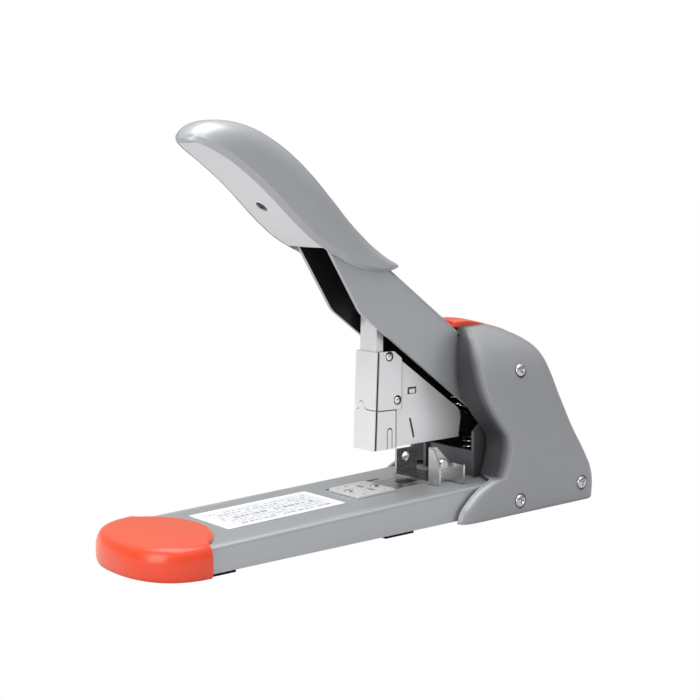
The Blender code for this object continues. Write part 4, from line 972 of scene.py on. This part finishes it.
def cover_mesh(sign):
    """One cover shell, hollowed and cut back for the spine."""
    rings = []
    for level in levels:
        row, front_x, rear = cover_row(level)
        foot = 0.35 if level < 1 else 0.0
        rings.append([(x, sign * (y - foot), level) for x, y in [(front_x, SEAM)] + row + [(rear, SEAM)]])
    shell = loft("cover", rings)
    rings = []
    for level in [-4.0] + [k for k in levels if 2 < k < 90] + [90.6, 91.8]:
        lift = between(level, ((60, 0.0), (80, 1.56), (90, 2.4)))
        thin = between(level, ((60, 1.0), (85, 0.8), (95, 0.6)))
        row, front_x, rear = cover_row(level + lift, COVER_WALL * thin)
        ring = [(front_x - 30, -6), (front_x - 30, row[0][1])] + row + [(rear, -6)]
        rings.append([(x, sign * y, level) for x, y in ring])
    shell = combine(shell, loft("hollow", rings))
    rings = [spine_loop(x, 0.3, -12, 20) for x in (30, 43.0, 60, 80, 92, SPINE_REAR, SPINE_REAR + 0.3)]
    return combine(shell, loft("spine_room", rings))


COVER_SCREWS = (("upper", 70.9, 73.1, 0.6, 15), ("front", 64.8, 7.6, 0.8, 40), ("rear", 111.5, 10.5, 0.8, 62))
for side, sign in SIDES:
    shell = cover_mesh(sign)
    for row, x, z, sink, twist in COVER_SCREWS:
        surface = COVER_HALF - smooth(NARROWER, z)
        shell = combine(shell, rod("seat", (x, sign * (surface - sink + 5), z), 4.0, 10))
        foot = (x, sign * (surface - sink + 0.2), z)
        head = cross_screw(f"cover_screw_{row}_{side}_head", foot, (0, sign, 0), 3.4, 1.8, 3.8, twist)
        name = f"cover_screw_{row}_{side}"
        piece(name + "_head", head, STEEL, "stand", [name])
    # Painted shade: the shade attribute darkens the lip where the cover's mouth rolls in, from the mouth edge
    # out towards the crest.
    shade = shell.attributes.new("shade", "FLOAT", "POINT")
    for k, vertex in enumerate(shell.vertices):
        x, y, z = vertex.co.x / MM - X_DATUM, abs(vertex.co.y / MM), vertex.co.z / MM
        level = 0.0
        if z > 20.5:
            crest = smooth(CREST_X, z)
            edge = smooth(MOUTH_HALF, z)
            reach = max(COVER_HALF - smooth(NARROWER, z) - edge, 1.0)
            share = (y - edge) / reach
            if x < max(crest, smooth(MOUTH_X, z)) + 6:
                level = LIP_SHADE * min(max((0.97 - share) / 0.22, 0.0), 1.0)
        shade.data[k].value = level
    stands_for = [f"cover_{side}"]
    piece(f"cover_shell_{side}", shell, SATIN, "stand", stands_for, 0.2, 38)

spine_x = [44.0, 44.4, 45.2] + [47.0 + 3.0 * i for i in range(16)] + [93.5, 95.0, 96.5, 97.5, SPINE_REAR]
spine_end = {44.0: 0.5, 44.4: 0.15}
spine = loft("spine", [spine_loop(x, 0.0, -6.0, 0.0, spine_end.get(x, 0.0)) for x in spine_x])
piece("spine_insert", spine, ORANGE, "stand", ["top_spine"], bevel=0.4, segments=3)


# Head: riveted side plates with window, slot and marks; folded front guard; magazine nose

HEAD_HALF = 7.75
LEAF_INSIDE = 7.15
GUARD_LOW = 57.4
HEAD_PLATE = ((face(38.0) + 0.8, 38.0), (52.6, 38.0), (53.0, 48.0), (50.2, 53.2), (44.5, 57.0))
HEAD_PLATE += ((11.9, 80.2), (10.0, 82.7), (5.3, 86.0), (face(HEAD_TOP) + 0.8, HEAD_TOP))
GUARD_RIVETS = (("top", (2.3, 83.4)), ("low", (7.7, 61.4)))
RIVET_DOME = ((0, 1.95), (0.7, 1.92), (1.25, 1.78), (1.65, 1.45), (1.8, 1.15), (1.8, 0.98), (1.05, 0.98))
RIVET_DOME += ((1.05, 0), (0, 0))
RIVET_SHADE_RING = ((2.45, 0.1), (2.45, 0), (1.0, 0), (1.0, 0.1), (2.45, 0.1))
side_outline = fillet(HEAD_PLATE, [0.5, 2.0, 3.5, 3.5, 3.0, 0.8, 0.5, 0.8, 0.5], 6)
side_outline = [(min(x, 50.8 if z < 45 else 52.0), z) for x, z in side_outline]
window = rect(15.2, 21.2, 63.5, 67.0)
slit = fillet([(16.2, 51.5), (17.6, 51.5), (20.5, 41.2), (19.0, 41.2)], 0.4)
ticks = []
for i in range(5):
    z = 41.8 + 1.1 * i
    ticks.append(rect(21.6, 24.0 if i % 2 else 25.6, z, z + 0.22))
for side, sign in SIDES:
    near, far = sorted((sign * 6.25, sign * 6.95))
    plate = outline("side", side_outline, near, far, [window, slit])
    cut_near, cut_far = sorted((sign * 6.83, sign * 8))
    plate = combine(plate, *[outline("tick", tick, cut_near, cut_far) for tick in ticks])
    piece(f"head_plate_{side}", plate, SHEET, "head", [f"head_side_{side}"], bevel=0.10)
    tab_near, tab_far = sorted((sign * 6.3, sign * 7.12))
    tab = outline("tab", fillet(rect(16.5, 20.0, 63.9, 66.1), 0.2), tab_near, tab_far)
    piece(f"window_tab_{side}", tab, SHEET, "head", bevel=0.12)
    for row, (x, z) in GUARD_RIVETS:
        name = f"guard_rivet_{row}_{side}"
        rivet = lathe(name + "_dome", RIVET_DOME, (x, sign * 6.7, z), (0, sign, 0), 32)
        piece(name + "_dome", rivet, NICKEL, "head", [name])
        # Painted shade: a thin black ring round each rivet dome, for the shade at its edge.
        ring = lathe(name + "_ring", RIVET_SHADE_RING, (x + 0.2, sign * 7.72, z + 0.15), (0, sign, 0))
        piece(name + "_ring", ring, SHADE_BLACK, "head")


def front_wall(name, edge, y_out, z_other):
    """The folded front wall, with one level end and one end along an edge of (y, z) pairs."""
    loop = edge + [(y_out, z_other), (-y_out, z_other)]
    return prism(name, loop, lambda a, b, end: (face(b) + 0.6 * end, a, b))


joint = [(-HEAD_HALF, 57.3), (-1.4, 57.3), (-0.2, 58.0), (0.9, 60.0), (2.2, 61.1), (3.4, 61.2)]
joint += [(4.2, 60.3), (4.4, 57.3), (HEAD_HALF, 57.0)]
GAP = 0.45
guard_edge = [(y, z + GAP) for y, z in joint]
guard = front_wall("guard", guard_edge, HEAD_HALF, HEAD_TOP)
for side, sign in SIDES:
    near, far = sorted((sign * LEAF_INSIDE, sign * HEAD_HALF))
    flange = [(face(GUARD_LOW) + 1.95, GUARD_LOW), (10.6, GUARD_LOW - 0.5), (10.6, 82.2), (5.6, 86.0)]
    flange += [(face(HEAD_TOP) + 1.95, HEAD_TOP)]
    leaf = outline("leaf", fillet(flange, [0.2, 0.4, 0.8, 0.8, 0.2], 4), near, far)
    piece(f"guard_leaf_{side}", leaf, SHEET, "head", bevel=0.15)
piece("guard_front", guard, SHEET, "head", ["front_guard"])

nose = front_wall("nose", [(y, z) for y, z in joint][::-1], -HEAD_HALF, 37.5)
for side, sign in SIDES:
    near, far = sorted((sign * LEAF_INSIDE, sign * HEAD_HALF))
    flange = [(face(37.4) + 1.95, 37.5), (6.7, 37.5), (6.7, 56.5), (face(56.8) + 1.95, 56.8)]
    tongue = [(1.0, 36), (1.0, 46.6), (1.5, 47.8), (2.8, 48.2), (4.1, 47.8), (4.6, 46.6), (4.6, 36)]
    tongue += [(4.1, 36), (4.1, 46.4), (3.6, 47.2), (2.8, 47.5), (2.0, 47.2), (1.5, 46.4), (1.5, 36)]
    leaf = outline("leaf", fillet(flange, [0.2, 0.2, 0.8, 0.2], 4), near, far)
    slot_near, slot_far = sorted((sign * 7.2, sign * 9))
    leaf = combine(leaf, outline("tongue", tongue, slot_near, slot_far))
    # Painted shade: a black plate set into the bottom of the tongue slit, for the shade behind it.
    fill_near, fill_far = sorted((sign * 7.21, sign * 7.5))
    fill = [(x, max(z, 37.6)) for x, z in tongue]
    dark = outline("slit_shadow", fill, fill_near, fill_far)
    piece(f"nose_slit_shadow_{side}", dark, SHADE_BLACK, "magazine")
    piece(f"nose_leaf_{side}", leaf, SHEET, "magazine", bevel=0.12)
piece("nose_front", nose, SHEET, "magazine", ["magazine_nose"])
# Painted shadow: black strips just behind the rear edges of the guard and nose leaves draw a dark shadow line
# round them.
for side, sign in SIDES:
    near, far = sorted((sign * 6.98, sign * 7.12))
    shadow = [(face(57.2) + 0.9, 57.2), (11.4, 56.7), (11.4, 81.9), (6.4, 85.7), (5.4, HEAD_TOP)]
    shadow += [(face(HEAD_TOP) + 0.9, HEAD_TOP)]
    piece(f"head_shadow_strip_{side}", outline("shadow_strip", shadow, near, far), SHADE_BLACK, "head")
    shadow = [(face(37.5) + 0.9, 37.5), (7.75, 37.5), (7.75, 56.95), (face(57) + 0.9, 57.0)]
    piece(f"nose_shadow_strip_{side}", outline("shadow_strip", shadow, near, far), SHADE_BLACK, "magazine")


# Springs

WIRE = 1.2


def upright_spring(name, cad_node, x, radius, turns, body):
    """A coil in the place of the CAD node, from its foot up to its top."""
    spring_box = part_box(cad_node)
    low, high = spring_box[0].z / MM, spring_box[1].z / MM
    mesh = coil(name, (x, 0, low), (0, 0, 1), radius, WIRE, high - low, turns)
    made = piece(name, mesh, STEEL, body, [cad_node])
    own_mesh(made)


upright_spring("handle_return_spring", "handle_spring", 57.5, 4.0, 9, "head")
upright_spring("head_return_spring", "head_spring", 66.0, 4.2, 6, "stand")
spring_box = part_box("pusher_spring")
start, end = spring_box[0].x / MM - X_DATUM, spring_box[1].x / MM - X_DATUM
middle = (spring_box[0].z + spring_box[1].z) / 2 / MM
pull_coil = coil("pull", (start, 0, middle), (1, 0, 0), 2.25, 0.7, end - start, 14)
pull = bpy.data.objects.new("pusher_pull_spring", pull_coil)
scene.collection.objects.link(pull)
pull.data.materials.append(STEEL)
pull.data.shade_smooth()
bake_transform(pull)
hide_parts("pusher_spring")


# CAD nodes that keep their shape: materials and softened edges

LOOKS = {
    "nickel": NICKEL,
    "dark_steel": DARK,
    "spring_steel": STEEL,
    "rubber": RUBBER,
    "pale_plastic": PALE,
    "silver_paint": SILVER,
    "grey_plastic": SATIN,
    "orange_plastic": ORANGE,
    "label_stock": FILM,
}
SLOTS = {part["node"]: part["material_slot"] for part in frame["record"]["subparts"]}
for name, obj in nodes.items():
    if obj.hide_render:
        continue
    look = LOOKS[SLOTS[name]]
    if name == "paper_stop":
        look = BRUSHED
    elif name == "driver_block":
        look = SHEET
    elif name.startswith("frame"):
        look = FRAME_GREY
    obj.data.materials.clear()
    obj.data.materials.append(look)
    step = obj.modifiers.new("edges", "BEVEL")
    step.width = 0.15 * MM
    step.segments = 2
    step.limit_method = "ANGLE"
    step.angle_limit = math.radians(35)


# Floor, light and camera

FLOOR_HALF = 6.0
floor_mesh = bpy.data.meshes.new("floor")
work = bmesh.new()
bmesh.ops.create_grid(work, x_segments=1, y_segments=1, size=FLOOR_HALF)
work.to_mesh(floor_mesh)
work.free()
floor = bpy.data.objects.new("floor", floor_mesh)
scene.collection.objects.link(floor)
paper = finish_material("floor_paper", (0.55, 0.55, 0.56), 0.9, mottle=0.005, mottle_scale=3)
tree = paper.node_tree
seen = node(tree, "ShaderNodeLightPath")
glow = node(tree, "ShaderNodeEmission", Strength=1.0)
glow.inputs["Color"].default_value = (1, 1, 1, 1)
choose = node(tree, "ShaderNodeMixShader")
tree.links.new(seen.outputs["Is Camera Ray"], choose.inputs[0])
tree.links.new(tree.nodes["Principled BSDF"].outputs[0], choose.inputs[1])
tree.links.new(glow.outputs[0], choose.inputs[2])
tree.links.new(choose.outputs[0], tree.nodes["Material Output"].inputs[0])
floor_mesh.materials.append(paper)

sky = bpy.data.worlds.new("studio")
scene.world = sky
sky.use_nodes = True
tree = sky.node_tree
background = tree.nodes["Background"]
place = node(tree, "ShaderNodeTexCoord")
split = node(tree, "ShaderNodeSeparateXYZ")
tree.links.new(place.outputs["Generated"], split.inputs[0])
ramp = node(tree, "ShaderNodeValToRGB")
tree.links.new(split.outputs["Z"], ramp.inputs["Fac"])
elements = ramp.color_ramp.elements
elements[0].position, elements[0].color = 0.0, (0.50, 0.51, 0.52, 1)
elements[1].position, elements[1].color = 1.0, (1.0, 1.0, 1.0, 1)
for position, value in ((0.06, 0.50), (0.16, 0.16), (0.30, 0.24), (0.50, 0.50), (0.75, 0.80)):
    element = elements.new(position)
    element.color = (value, value, value * 1.01, 1)
ray = node(tree, "ShaderNodeLightPath")
pick = node(tree, "ShaderNodeMix", data_type="RGBA")
pick.inputs[7].default_value = (1, 1, 1, 1)
tree.links.new(ray.outputs["Is Camera Ray"], pick.inputs[0])
tree.links.new(ramp.outputs["Color"], pick.inputs[6])
tree.links.new(pick.outputs[2], background.inputs["Color"])
background.inputs["Strength"].default_value = 1.15


def softbox(name, spot, target, size, power):
    lamp = bpy.data.lights.new(name, "AREA")
    lamp.shape = "RECTANGLE"
    lamp.size, lamp.size_y = size
    lamp.energy = power
    made = bpy.data.objects.new(name, lamp)
    scene.collection.objects.link(made)
    made.location = spot
    made.rotation_euler = (Vector(target) - Vector(spot)).to_track_quat("-Z", "Y").to_euler()


softbox("top_light", (-0.15, -0.05, 1.1), (0, 0, 0.05), (1.1, 0.9), 11)
softbox("front_light", (-1.0, -0.25, 0.35), (0, 0, 0.08), (0.6, 0.6), 4.2)

AZIMUTH, ELEVATION = math.radians(-39.986), math.radians(7.278)
TARGET = world(-16.237, 0, 87.626)
DISTANCE = 0.6962
SENSOR, LENS = 36.0, 73.944
flat = math.cos(ELEVATION)
back = Vector((math.sin(AZIMUTH) * flat, -math.cos(AZIMUTH) * flat, math.sin(ELEVATION)))
lens = bpy.data.cameras.new("camera")
lens.sensor_width = SENSOR
lens.lens = LENS
camera = bpy.data.objects.new("camera", lens)
scene.collection.objects.link(camera)
camera.location = TARGET + back * DISTANCE
camera.rotation_euler = back.to_track_quat("Z", "Y").to_euler()
scene.camera = camera
scene.view_settings.view_transform = "Standard"
